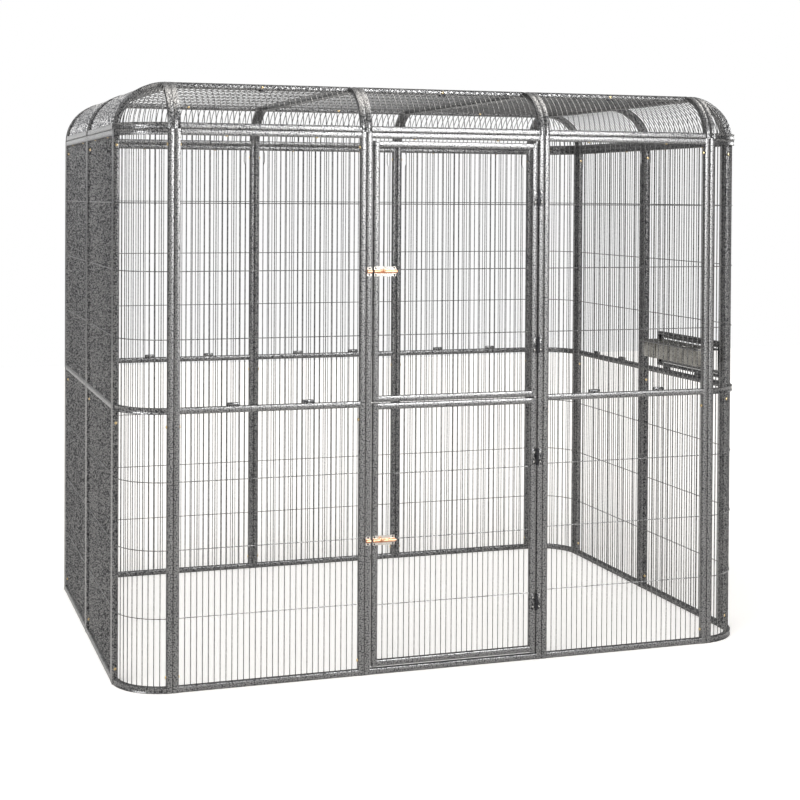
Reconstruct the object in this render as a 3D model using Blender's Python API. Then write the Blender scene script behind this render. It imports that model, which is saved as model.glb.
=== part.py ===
"""Walk-in aviary for birds.

Bolted wall panels of square tube and round bar stand on an open base, with quarter-round
corners, quarter-round eaves and a flat barred roof. The middle bay of the front holds a door
in two leaves, and the right wall holds a swinging feeder rack with four lift-out cups.
Metres, +Z up. The origin is the middle of the floor; the front faces -Y.
"""

import math

import bmesh
import bpy
from mathutils import Matrix, Vector

# Layout of the house
BAY = 0.635
BAYS_WIDE = 3
BAYS_DEEP = 2
CORNER_RADIUS = 0.170
EAVE_RISE = 0.158
WALL_HEIGHT = 1.790
MID_RAIL_HEIGHT = 0.895

# Stock and fits
TUBE = 0.020
BAR = 0.003
BAR_PITCH = 0.019
BARS_SHOWN = 5
GAP = 0.0003
WELD = 0.002
ARC_STEPS = 6
ROUND_STEPS = 12
SHARP_ANGLE = 35

# Saddles welded on the middle rail
SADDLE_LENGTH = 0.040
SADDLE_DEPTH = 0.014
SADDLE_HEIGHT = 0.012
SADDLE_OFFSET = 0.123

# Door leaves in the middle bay of the front
DOOR_SIDE_GAP = 0.005
DOOR_TOP_GAP = 0.008
DOOR_SILL_GAP = 0.006
DOOR_SPLIT_ABOVE_RAIL = 0.003
DOOR_SPLIT_GAP = 0.004

# Butt hinges
HINGE_HEIGHT = 0.055
HINGE_REACH = 0.018
HINGE_PLATE = 0.002
HINGE_BORE = 0.0025
PIN_CLEARANCE = 0.0004
KNUCKLE_CLEARANCE = 0.0010
UPPER_HINGE_INSETS = {"top": 0.183, "bottom": 0.176}
LOWER_HINGE_INSETS = {"top": 0.202, "bottom": 0.172}

# Barrel bolts
UPPER_BOLT_ABOVE_MIDDLE = 0.001
LOWER_BOLT_ABOVE_MIDDLE = -0.017
BOLT_LENGTH = 0.076
BOLT_HEIGHT = 0.032
BOLT_PLATE = 0.0015
BOLT_SETBACK = 0.001
BARREL_BORE = 0.0042
BARREL_WALL = 0.0018
ROD_RADIUS = 0.0036
ROD_STICKS_OUT = 0.004
BOLT_TRAVEL = 0.022
KNOB_PLACE = 0.030
KNOB_REACH = 0.0180
KNOB_RADIUS = 0.0055
STEM_RADIUS = 0.0023
SLOT_CLEARANCE = 0.0010
KNOB_TILT = 20
KEEPER_LENGTH = 0.016
KEEPER_HEIGHT = 0.030

# Feeder in the front bay of the right wall
FEEDER_FACE = 0.0002
FEEDER_FRAME = 0.010
FEEDER_WIDTH = 0.463
FEEDER_ABOVE_RAIL = 0.033
FEEDER_HEIGHT = 0.113
FEEDER_CLEARANCE = 0.003
FEEDER_DEPTH = 0.012
FEEDER_HINGE_HEIGHT = 0.085
FEEDER_HINGE_REACH = 0.011
RACK_LENGTH = 0.440
RACK_INSET = 0.004
RACK_BAR = 0.008
RACK_THICKNESS = 0.005
CUPS = 4
CUP_DEPTH = 0.078
CUP_HEIGHT = 0.066
CUP_WALL = 0.0015
CUP_RIM = 0.003
CUP_CORNER = 0.012
CUP_CLEARANCE = 0.0008
CUP_LIFT_CLEARANCE = 0.0025
CUP_RIM_DROP = 0.017
BUTTON_LENGTH = 0.034
BUTTON_WIDTH = 0.009
BUTTON_THICKNESS = 0.0025
BUTTON_RIVET = 0.0035

# Sizes that follow from those above
HALF_WIDTH = BAYS_WIDE * BAY / 2 + CORNER_RADIUS
HALF_DEPTH = BAYS_DEEP * BAY / 2 + CORNER_RADIUS
ROOF_HEIGHT = WALL_HEIGHT + EAVE_RISE
PANEL_WIDTH = BAY - GAP
QUARTER = CORNER_RADIUS * math.pi / 2
OPENING_HALF = PANEL_WIDTH / 2 - TUBE
DOOR_HALF = OPENING_HALF - DOOR_SIDE_GAP
DOOR_SPLIT_HEIGHT = MID_RAIL_HEIGHT + DOOR_SPLIT_ABOVE_RAIL
FEEDER_SILL = MID_RAIL_HEIGHT + FEEDER_ABOVE_RAIL
CUP_RIM_HEIGHT = FEEDER_SILL + FEEDER_HEIGHT - CUP_RIM_DROP
FLAT_TURN = 180 / ROUND_STEPS

# Each side: name, turn about Z in degrees, distance of its outer face, its bays from the left
SIDES = (
    ("front", 0, HALF_DEPTH, ("front_left", "front_middle", "front_right")),
    ("right", 90, HALF_WIDTH, ("right_front", "right_back")),
    ("back", 180, HALF_DEPTH, ("back_right", "back_middle", "back_left")),
    ("left", 270, HALF_WIDTH, ("left_back", "left_front")),
)
CORNERS = (
    ("front_right", 0, 1, -1),
    ("back_right", 90, 1, 1),
    ("back_left", 180, -1, 1),
    ("front_left", 270, -1, -1),
)


def make_material(name, colour, roughness, metallic):
    material = bpy.data.materials.new(name)
    material.use_nodes = True
    shader = material.node_tree.nodes["Principled BSDF"]
    shader.inputs["Base Color"].default_value = (*colour, 1)
    shader.inputs["Roughness"].default_value = roughness
    shader.inputs["Metallic"].default_value = metallic
    return material


def box(bm, low, high):
    """A box between two corners."""
    low, high = Vector(low), Vector(high)
    size = high - low
    place = Matrix.Translation((low + high) / 2) @ Matrix.Diagonal((*size, 1))
    bmesh.ops.create_cube(bm, size=1, matrix=place)


def box_mesh(low, high):
    bm = bmesh.new()
    box(bm, low, high)
    return bm


def ladder(columns, rows, windows, depth):
    """A flat frame: a sheet in XZ cut along columns and rows, its windows removed, thickened to +Y."""
    bm = bmesh.new()
    width, height = columns[-1] - columns[0], rows[-1] - rows[0]
    middle = Vector(((columns[0] + columns[-1]) / 2, 0, (rows[0] + rows[-1]) / 2))
    upright = Matrix.Rotation(math.pi / 2, 4, "X")
    place = Matrix.Translation(middle) @ upright @ Matrix.Diagonal((width, height, 1, 1))
    bmesh.ops.create_grid(bm, x_segments=1, y_segments=1, size=0.5, matrix=place)
    for x in columns[1:-1]:
        slit(bm, (x, 0, 0), (1, 0, 0))
    for z in rows[1:-1]:
        slit(bm, (0, 0, z), (0, 0, 1))
    empty = []
    for face in bm.faces:
        x, _, z = face.calc_center_median()
        if any(x0 < x < x1 and z0 < z < z1 for x0, x1, z0, z1 in windows):
            empty.append(face)
    bmesh.ops.delete(bm, geom=empty, context="FACES")
    thick = bmesh.ops.extrude_face_region(bm, geom=bm.faces[:])
    moved = [item for item in thick["geom"] if isinstance(item, bmesh.types.BMVert)]
    bmesh.ops.translate(bm, verts=moved, vec=(0, depth, 0))
    bmesh.ops.recalc_face_normals(bm, faces=bm.faces[:])
    return bm


def slit(bm, point, normal):
    everything = bm.verts[:] + bm.edges[:] + bm.faces[:]
    bmesh.ops.bisect_plane(bm, geom=everything, plane_co=point, plane_no=normal, dist=1e-7)


def steps_between(start, end, count):
    return [start + (end - start) * k / count for k in range(count + 1)]


def bar_places(clear):
    """Places of the bars that the solids show, along a clear width: every BARS_SHOWN-th real bar."""
    intervals = max(2, round(clear / BAR_PITCH))
    bars = intervals - 1
    shown = max(1, round(bars / BARS_SHOWN))
    first = (bars - (shown - 1) * BARS_SHOWN + 1) / 2
    if first <= 0:
        first = 1
    return [clear / intervals * (first + BARS_SHOWN * k) for k in range(shown)]


def upright_bars(start, end, bottom, top, depth):
    """Square bars in one mesh, standing at mid depth and let into the rails at both ends."""
    bm = bmesh.new()
    for offset in bar_places(end - start):
        x = start + offset
        box(
            bm,
            (x - BAR / 2, depth / 2 - BAR / 2, bottom),
            (x + BAR / 2, depth / 2 + BAR / 2, top),
        )
    return bm


def bend_corner(bm):
    """Rolls a flat strip (X along the arc, Y inwards) round the vertical axis at the origin."""
    for vert in bm.verts:
        angle = vert.co.x / CORNER_RADIUS - math.pi / 2
        radius = CORNER_RADIUS - vert.co.y
        vert.co.x = radius * math.cos(angle)
        vert.co.y = radius * math.sin(angle)


def bend_eave(bm):
    """Rolls a flat strip (Z along the arc, Y inwards) round the X axis, a little flattened in height."""
    for vert in bm.verts:
        angle = vert.co.z / CORNER_RADIUS
        radius = CORNER_RADIUS - vert.co.y
        vert.co.y = -radius * math.cos(angle)
        vert.co.z = radius * math.sin(angle) * EAVE_RISE / CORNER_RADIUS


def temporary(bm):
    mesh = bpy.data.meshes.new("shape")
    bm.to_mesh(mesh)
    bm.free()
    item = bpy.data.objects.new("shape", mesh)
    item.hide_render = True
    item.display_type = "WIRE"
    bpy.context.scene.collection.objects.link(item)
    return item


def combine(base, *tools):
    """Joins or cuts closed meshes with Boolean modifiers; each tool is (operation, bmesh)."""
    body = temporary(base)
    others = []
    for operation, bm in tools:
        other = temporary(bm)
        modifier = body.modifiers.new(operation, "BOOLEAN")
        modifier.operation = operation
        modifier.solver = "EXACT"
        modifier.object = other
        others.append(other)
    graph = bpy.context.evaluated_depsgraph_get()
    mesh = bpy.data.meshes.new_from_object(body.evaluated_get(graph))
    joined = bmesh.new()
    joined.from_mesh(mesh)
    for item in [body, *others]:
        bpy.data.objects.remove(item)
    bmesh.ops.remove_doubles(joined, verts=joined.verts[:], dist=1e-6)
    return joined


def as_mesh(bm, name, round_piece=False):
    mesh = bpy.data.meshes.new(name)
    bmesh.ops.recalc_face_normals(bm, faces=bm.faces[:])
    bm.to_mesh(mesh)
    bm.free()
    if round_piece:
        mesh.shade_smooth()
        mesh.set_sharp_from_angle(angle=math.radians(SHARP_ANGLE))
    return mesh


def place(name, mesh, material, location=(0, 0, 0), turn=0, parent=None):
    """One named sub-part at its place, turned about Z by some degrees."""
    if not mesh.materials:
        mesh.materials.append(material)
    item = bpy.data.objects.new(name, mesh)
    item.location = location
    item.rotation_euler = (0, 0, math.radians(turn))
    bpy.context.scene.collection.objects.link(item)
    if parent:
        item.parent = parent
    return item


def make_axis(name, location, turn=0, parent=None):
    """An empty on a joint's axis, which carries the pieces that move about it."""
    item = bpy.data.objects.new(name, None)
    item.location = location
    item.rotation_euler = (0, 0, math.radians(turn))
    bpy.context.scene.collection.objects.link(item)
    if parent:
        item.parent = parent
    return item


def turned(profile):
    """A solid turned about Z from a profile of (radius, height) that starts and ends on the axis."""
    bm = bmesh.new()
    verts = [bm.verts.new((radius, 0, height)) for radius, height in profile]
    edges = [bm.edges.new(pair) for pair in zip(verts, verts[1:])]
    bmesh.ops.spin(
        bm,
        geom=verts + edges,
        cent=(0, 0, 0),
        axis=(0, 0, 1),
        angle=math.tau,
        steps=ROUND_STEPS,
        use_merge=True,
    )
    bmesh.ops.remove_doubles(bm, verts=bm.verts[:], dist=1e-6)
    bmesh.ops.recalc_face_normals(bm, faces=bm.faces[:])
    return bm


def rod_mesh(radius, bottom, top):
    return turned([(0, bottom), (radius, bottom), (radius, top), (0, top)])


def pipe(outer, inner, bottom, top):
    """A short pipe about Z."""
    bm = bmesh.new()
    rims = []
    for radius in (outer, inner):
        rim = bmesh.ops.create_circle(
            bm, cap_ends=False, radius=radius, segments=ROUND_STEPS,
            matrix=Matrix.Translation((0, 0, bottom)),
        )
        rims.extend({edge for vert in rim["verts"] for edge in vert.link_edges})
    ring = bmesh.ops.bridge_loops(bm, edges=rims)
    tall = bmesh.ops.extrude_face_region(bm, geom=ring["faces"])
    moved = [item for item in tall["geom"] if isinstance(item, bmesh.types.BMVert)]
    bmesh.ops.translate(bm, verts=moved, vec=(0, 0, top - bottom))
    bmesh.ops.recalc_face_normals(bm, faces=bm.faces[:])
    return bm


def turn_mesh(bm, degrees, axis):
    bmesh.ops.rotate(
        bm, verts=bm.verts[:], cent=(0, 0, 0),
        matrix=Matrix.Rotation(math.radians(degrees), 3, axis),
    )
    return bm


def move_mesh(bm, vector):
    bmesh.ops.translate(bm, verts=bm.verts[:], vec=vector)
    return bm


def wall_frame(with_mid_rail=True):
    """Two posts, a bottom and a top rail and, except round the door, a middle rail."""
    half = PANEL_WIDTH / 2
    inner = half - TUBE
    rail_low, rail_high = MID_RAIL_HEIGHT - TUBE / 2, MID_RAIL_HEIGHT + TUBE / 2
    rows = [0, TUBE, WALL_HEIGHT - TUBE, WALL_HEIGHT]
    windows = [(-inner, inner, TUBE, WALL_HEIGHT - TUBE)]
    if with_mid_rail:
        rows = [0, TUBE, rail_low, rail_high, WALL_HEIGHT - TUBE, WALL_HEIGHT]
        windows = [
            (-inner, inner, TUBE, rail_low),
            (-inner, inner, rail_high, WALL_HEIGHT - TUBE),
        ]
    return ladder([-half, -inner, inner, half], rows, windows, TUBE)


def saddles():
    """Two small blocks on the middle rail, let into it by the weld."""
    bm = bmesh.new()
    top = MID_RAIL_HEIGHT + TUBE / 2
    for side in (-1, 1):
        x = side * SADDLE_OFFSET
        box(
            bm,
            (x - SADDLE_LENGTH / 2, WELD, top - WELD),
            (x + SADDLE_LENGTH / 2, WELD + SADDLE_DEPTH, top + SADDLE_HEIGHT),
        )
    return bm


def wall_bars():
    inner = PANEL_WIDTH / 2 - TUBE
    return upright_bars(-inner, inner, TUBE / 2, WALL_HEIGHT - TUBE / 2, TUBE)


def make_wall():
    return as_mesh(
        combine(wall_frame(), ("UNION", wall_bars()), ("UNION", saddles())), "wall"
    )


def feeder_opening():
    """Low and high corner of the feeder opening, in its wall panel's own frame."""
    left = -PANEL_WIDTH / 2 + TUBE + FEEDER_FRAME
    return (left, FEEDER_SILL), (left + FEEDER_WIDTH, FEEDER_SILL + FEEDER_HEIGHT)


def make_feeder_wall():
    """The wall panel with the feeder's opening, framed by narrow bars."""
    (x0, z0), (x1, z1) = feeder_opening()
    edge = FEEDER_FRAME
    frame = box_mesh(
        (x0 - edge - WELD, FEEDER_FACE, z0 - edge),
        (x1 + edge, TUBE - FEEDER_FACE, z1 + edge),
    )
    hole = box_mesh((x0, -TUBE, z0), (x1, 2 * TUBE, z1))
    body = combine(
        wall_frame(),
        ("UNION", wall_bars()),
        ("UNION", saddles()),
        ("UNION", frame),
        ("DIFFERENCE", hole),
    )
    return as_mesh(body, "feeder_wall")


def make_corner():
    """Quarter-round corner: two posts, three rolled rails and upright bars."""
    rail_low, rail_high = MID_RAIL_HEIGHT - TUBE / 2, MID_RAIL_HEIGHT + TUBE / 2
    start, end = GAP / 2, QUARTER - GAP / 2
    columns = [start, *steps_between(TUBE, QUARTER - TUBE, ARC_STEPS), end]
    rows = [0, TUBE, rail_low, rail_high, WALL_HEIGHT - TUBE, WALL_HEIGHT]
    windows = [
        (TUBE, QUARTER - TUBE, TUBE, rail_low),
        (TUBE, QUARTER - TUBE, rail_high, WALL_HEIGHT - TUBE),
    ]
    frame = ladder(columns, rows, windows, TUBE)
    bend_corner(frame)
    bars = bmesh.new()
    middle = CORNER_RADIUS - TUBE / 2
    for place_on_arc in bar_places(QUARTER - 2 * TUBE):
        angle = (TUBE + place_on_arc) / CORNER_RADIUS - math.pi / 2
        x, y = middle * math.cos(angle), middle * math.sin(angle)
        box(
            bars,
            (x - BAR / 2, y - BAR / 2, TUBE / 2),
            (x + BAR / 2, y + BAR / 2, WALL_HEIGHT - TUBE / 2),
        )
    return as_mesh(combine(frame, ("UNION", bars)), "corner")


def arc_lines():
    return steps_between(TUBE, QUARTER - TUBE, ARC_STEPS)


def make_eave():
    """Quarter-round eave: base rail, two rolled arches, top rail and bent bars."""
    half = PANEL_WIDTH / 2
    inner = half - TUBE
    rows = [GAP, TUBE, QUARTER - TUBE, QUARTER - GAP / 2]
    windows = [(-inner, inner, TUBE, QUARTER - TUBE)]
    frame = ladder([-half, -inner, inner, half], rows, windows, TUBE)
    bars = upright_bars(-inner, inner, TUBE / 2, QUARTER - TUBE / 2, TUBE)
    body = combine(frame, ("UNION", bars))
    for z in arc_lines():
        slit(body, (0, 0, z), (0, 0, 1))
    bend_eave(body)
    return as_mesh(body, "eave")


def rolled_strip(x0, x1, z0, z1, y0, y1):
    """A straight strip, cut at the arc's steps and rolled like an eave bar."""
    bm = box_mesh((x0, y0, z0), (x1, y1, z1))
    for z in steps_between(0, QUARTER, ARC_STEPS)[1:-1]:
        slit(bm, (0, 0, z), (0, 0, 1))
    bend_eave(bm)
    return bm


def make_dome():
    """Corner of the roof: rolled base rail, two arches and bars that meet at the roof's corner."""
    columns = [WELD, *steps_between(0, QUARTER, ARC_STEPS)[1:-1], QUARTER - WELD]
    base = ladder(columns, [GAP + WELD / 4, TUBE], [], TUBE)
    bend_corner(base)
    end = QUARTER - WELD
    first_arch = rolled_strip(GAP / 2, TUBE, GAP, end, 0, TUBE)
    second_arch = rolled_strip(-TUBE, -GAP / 2, GAP, end, WELD / 4, TUBE + WELD / 4)
    turn_mesh(second_arch, 90, "Z")
    tools = [("UNION", first_arch), ("UNION", second_arch)]
    middle = CORNER_RADIUS - TUBE / 2
    crown = math.acos(TUBE / 2 / middle) * CORNER_RADIUS
    for place_on_arc in bar_places(QUARTER - 2 * TUBE):
        turn = math.degrees((TUBE + place_on_arc) / CORNER_RADIUS)
        low, high = TUBE / 2 - BAR / 2, TUBE / 2 + BAR / 2
        bar = rolled_strip(-BAR / 2, BAR / 2, TUBE / 2, crown, low, high)
        tools.append(("UNION", turn_mesh(bar, turn, "Z")))
    body = combine(base, *tools)
    bmesh.ops.triangulate(body, faces=body.faces[:], ngon_method="BEAUTY")
    return as_mesh(body, "dome")


def make_roof():
    """Flat roof panel with bars from front to back; its top face is at its own Z = 0."""
    half = PANEL_WIDTH / 2
    inner = half - TUBE
    reach = (BAYS_DEEP * BAY - GAP) / 2
    rows = [-reach, TUBE - reach, reach - TUBE, reach]
    windows = [(-inner, inner, TUBE - reach, reach - TUBE)]
    frame = ladder([-half, -inner, inner, half], rows, windows, TUBE)
    bars = upright_bars(-inner, inner, TUBE / 2 - reach, reach - TUBE / 2, TUBE)
    return as_mesh(turn_mesh(combine(frame, ("UNION", bars)), -90, "X"), "roof")


def make_door_leaf(bottom, top, axis_x, axis_y):
    """A door leaf in the frame of its hinge axis."""
    left, right = -DOOR_HALF, DOOR_HALF
    columns = [left, left + TUBE, right - TUBE, right]
    rows = [bottom, bottom + TUBE, top - TUBE, top]
    windows = [(left + TUBE, right - TUBE, bottom + TUBE, top - TUBE)]
    frame = ladder(columns, rows, windows, TUBE)
    bars = upright_bars(
        left + TUBE, right - TUBE, bottom + TUBE / 2, top - TUBE / 2, TUBE
    )
    body = combine(frame, ("UNION", bars))
    move_mesh(body, (-axis_x, -HALF_DEPTH - axis_y, 0))
    return as_mesh(body, "door_leaf")


def knuckle_radius():
    return HINGE_BORE + HINGE_PLATE


def hinge_thirds(height):
    """Low and high ends of the three knuckles, counted from the hinge's middle."""
    third = height / 3
    ends = []
    for k in range(3):
        low = -height / 2 + k * third
        ends.append((low + (GAP / 2 if k else 0), low + third - (0 if k == 2 else GAP / 2)))
    return ends


def make_hinge_leaf(side, knuckles, height, reach):
    """A plate and its knuckles about the pin's axis; side is 1 towards +X and -1 towards -X."""
    back = knuckle_radius()
    near, far = back + KNUCKLE_CLEARANCE, reach
    low_x, high_x = sorted((side * near, side * far))
    plate = box_mesh(
        (low_x, back - HINGE_PLATE, -height / 2), (high_x, back, height / 2)
    )
    tools = []
    ends = hinge_thirds(height)
    for k in knuckles:
        low, high = ends[k]
        inner_x, outer_x = sorted((side * HINGE_BORE / 2, side * (near + WELD)))
        tongue = box_mesh((inner_x, back - HINGE_PLATE, low), (outer_x, back, high))
        tools.append(("UNION", tongue))
        tools.append(("UNION", pipe(back, HINGE_BORE, low, high)))
    return as_mesh(combine(plate, *tools), "hinge_leaf", round_piece=True)


def make_pin(height):
    """A hinge pin with a flat head."""
    radius = HINGE_BORE - PIN_CLEARANCE
    head = knuckle_radius() - PIN_CLEARANCE
    top = height / 2 + GAP
    tail = -height / 2 - GAP
    profile = [
        (0, tail), (radius, tail), (radius, top), (head, top), (head, top + HINGE_PLATE),
        (0, top + HINGE_PLATE),
    ]
    return as_mesh(turned(profile), "hinge_pin", round_piece=True)


def barrel(length, plate_height):
    """A back plate with a pipe along X on its front; the pipe's axis is at the origin."""
    outer = BARREL_BORE + BARREL_WALL
    back = outer
    plate = box_mesh(
        (0, back - BOLT_PLATE, -plate_height / 2), (length, back, plate_height / 2)
    )
    tube = pipe(outer, BARREL_BORE, WELD / 4, length - WELD / 4)
    turn_mesh(turn_mesh(tube, FLAT_TURN, "Z"), 90, "Y")
    bore = rod_mesh(BARREL_BORE, -WELD, length + WELD)
    turn_mesh(turn_mesh(bore, FLAT_TURN, "Z"), 90, "Y")
    return plate, [("UNION", tube), ("DIFFERENCE", bore)]


def make_bolt_body():
    plate, tools = barrel(BOLT_LENGTH, BOLT_HEIGHT)
    side = STEM_RADIUS + SLOT_CLEARANCE
    slot = box_mesh(
        (KNOB_PLACE - BOLT_TRAVEL - side, -2 * KNOB_REACH, -side),
        (KNOB_PLACE + side, -WELD / 2, side),
    )
    turn_mesh(slot, -KNOB_TILT, "X")
    return as_mesh(combine(plate, *tools, ("DIFFERENCE", slot)), "bolt_body", True)


def make_keeper():
    plate, tools = barrel(KEEPER_LENGTH, KEEPER_HEIGHT)
    return as_mesh(combine(plate, *tools), "bolt_keeper", True)


def make_rod():
    """The sliding rod with its knob, drawn back so that its tip is level with the barrel's end."""
    rod = rod_mesh(ROD_RADIUS, 0, BOLT_LENGTH + ROD_STICKS_OUT)
    turn_mesh(rod, 90, "Y")
    neck = KNOB_REACH - 2 * KNOB_RADIUS
    steps = steps_between(0, math.pi, 6)
    ball = [
        (KNOB_RADIUS * math.sin(a), neck + KNOB_RADIUS * (1 - math.cos(a)))
        for a in steps[1:-1]
    ]
    profile = [(0, 0), (STEM_RADIUS, 0), (STEM_RADIUS, ball[0][1]), *ball, (0, KNOB_REACH)]
    knob = turned(profile)
    turn_mesh(knob, 90, "X")
    turn_mesh(knob, -KNOB_TILT, "X")
    move_mesh(knob, (KNOB_PLACE, 0, 0))
    return as_mesh(combine(rod, ("UNION", knob)), "bolt_rod", True)


def rack_pitch():
    return RACK_LENGTH / CUPS


def rack_depth():
    """Where the cups' cells start and end, counted inwards from the wall's outer face."""
    start = TUBE + CUP_LIFT_CLEARANCE + CUP_RIM - CUP_CLEARANCE
    return start, start + CUP_DEPTH + 2 * CUP_CLEARANCE


def make_feeder_door(axis_x, axis_y):
    """The feeder's barred door with the rack that carries the cups, in its hinge axis's frame."""
    (x0, z0), (x1, z1) = feeder_opening()
    gap = FEEDER_CLEARANCE
    left, right, bottom, top = x0 + gap, x1 - gap, z0 + gap, z1 - gap
    edge = FEEDER_FRAME
    frame = ladder(
        [left, left + edge, right - edge, right],
        [bottom, bottom + edge, top - edge, top],
        [(left + edge, right - edge, bottom + edge, top - edge)],
        FEEDER_DEPTH,
    )
    bars = upright_bars(
        left + edge, right - edge, bottom + edge / 2, top - edge / 2, FEEDER_DEPTH
    )
    rim_bottom = CUP_RIM_HEIGHT - CUP_WALL
    rack_top = rim_bottom - GAP
    cell_start, cell_end = rack_depth()
    rack_start = left + RACK_INSET
    rack = box_mesh(
        (rack_start, WELD, rack_top - RACK_THICKNESS),
        (rack_start + RACK_LENGTH, cell_end + RACK_BAR / 2, rack_top),
    )
    cells = bmesh.new()
    for k in range(CUPS):
        cell_x = rack_start + k * rack_pitch() + RACK_BAR / 2
        box(
            cells,
            (cell_x, cell_start, rack_top - 2 * RACK_THICKNESS),
            (cell_x + rack_pitch() - RACK_BAR, cell_end, rack_top + RACK_THICKNESS),
        )
    ledge = box_mesh(
        (right - edge - RACK_BAR, 2 * WELD, rack_top - RACK_THICKNESS + WELD / 4),
        (right - edge / 2, FEEDER_DEPTH - WELD, rack_top - WELD / 4),
    )
    shelf = combine(rack, ("DIFFERENCE", cells), ("UNION", ledge))
    body = combine(frame, ("UNION", bars), ("UNION", shelf))
    move_mesh(body, (-axis_x, -axis_y, 0))
    return as_mesh(body, "feeder_door")


def make_cup():
    """A rectangular cup with a flange; its own origin is at its middle on the rim's underside."""
    half_x = (rack_pitch() - RACK_BAR) / 2 - CUP_CLEARANCE
    half_y = CUP_DEPTH / 2
    bottom = CUP_WALL - CUP_HEIGHT

    def rounded(x, y, low, high, radius):
        bm = box_mesh((-x, -y, low), (x, y, high))
        uprights = [
            edge for edge in bm.edges
            if abs(edge.verts[0].co.z - edge.verts[1].co.z) > (high - low) / 2
        ]
        bmesh.ops.bevel(
            bm, geom=uprights, offset=radius, offset_type="OFFSET", segments=2,
            profile=0.5, affect="EDGES", material=-1,
        )
        return bm

    body = rounded(half_x, half_y, bottom, CUP_WALL / 2, CUP_CORNER)
    rim = rounded(half_x + CUP_RIM, half_y + CUP_RIM, 0, CUP_WALL, CUP_CORNER + CUP_RIM)
    hollow = rounded(
        half_x - CUP_WALL, half_y - CUP_WALL, bottom + CUP_WALL, 2 * CUP_WALL,
        CUP_CORNER - CUP_WALL,
    )
    return as_mesh(combine(body, ("UNION", rim), ("DIFFERENCE", hollow)), "cup")


def make_button():
    """A turn button that pivots about its rivet; at rest it hangs clear of the feeder's door."""
    half = BUTTON_WIDTH / 2
    plate = box_mesh(
        (-half, -BUTTON_THICKNESS, half - BUTTON_LENGTH), (half, 0, half)
    )
    rivet = rod_mesh(BUTTON_RIVET, WELD / 2, 2 * WELD)
    turn_mesh(rivet, 90, "X")
    return as_mesh(combine(plate, ("UNION", rivet)), "turn_button")


def clear_scene():
    for item in list(bpy.data.objects):
        bpy.data.objects.remove(item)


def build_walls(paint):
    wall, feeder_wall, corner = make_wall(), make_feeder_wall(), make_corner()
    surround = as_mesh(wall_frame(with_mid_rail=False), "surround")
    for _, turn, distance, bays in SIDES:
        turned_by = Matrix.Rotation(math.radians(turn), 3, "Z")
        for k, bay in enumerate(bays):
            mesh, name = wall, f"wall_{bay}"
            if bay == "front_middle":
                mesh, name = surround, "door_surround"
            if bay == "right_front":
                mesh = feeder_wall
            along = (k + 0.5 - len(bays) / 2) * BAY
            place(name, mesh, paint, turned_by @ Vector((along, -distance, 0)), turn)
    for name, turn, side_x, side_y in CORNERS:
        spot = corner_axis(side_x, side_y, 0)
        place(f"corner_{name}", corner, paint, spot, turn)


def corner_axis(side_x, side_y, height):
    return (
        side_x * (HALF_WIDTH - CORNER_RADIUS),
        side_y * (HALF_DEPTH - CORNER_RADIUS),
        height,
    )


def build_roof(paint):
    eave, dome, roof = make_eave(), make_dome(), make_roof()
    for _, turn, distance, bays in SIDES:
        turned_by = Matrix.Rotation(math.radians(turn), 3, "Z")
        for k, bay in enumerate(bays):
            along = (k + 0.5 - len(bays) / 2) * BAY
            inward = distance - CORNER_RADIUS
            spot = turned_by @ Vector((along, -inward, WALL_HEIGHT))
            place(f"eave_{bay}", eave, paint, spot, turn)
    for name, turn, side_x, side_y in CORNERS:
        spot = corner_axis(side_x, side_y, WALL_HEIGHT)
        place(f"dome_{name}", dome, paint, spot, turn)
    for k, name in enumerate(("left", "middle", "right")):
        along = (k + 0.5 - BAYS_WIDE / 2) * BAY
        place(f"roof_{name}", roof, paint, (along, 0, ROOF_HEIGHT))


def build_hinge(prefix, height, reach, post_side, spot, finishes, axis):
    """Two leaves and a pin; the door's leaf is carried by the joint's axis."""
    paint, steel = finishes
    turn = math.degrees(axis.rotation_euler.z)
    fixed = make_hinge_leaf(post_side, (0, 2), height, reach)
    moving = make_hinge_leaf(-post_side, (1,), height, reach)
    place(f"{prefix}_post_leaf", fixed, paint, spot, turn)
    place(f"{prefix}_pin", make_pin(height), steel, spot, turn)
    above_axis = (0, 0, spot[2] - axis.location[2])
    place(f"{prefix}_door_leaf", moving, paint, above_axis, 0, axis)


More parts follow.
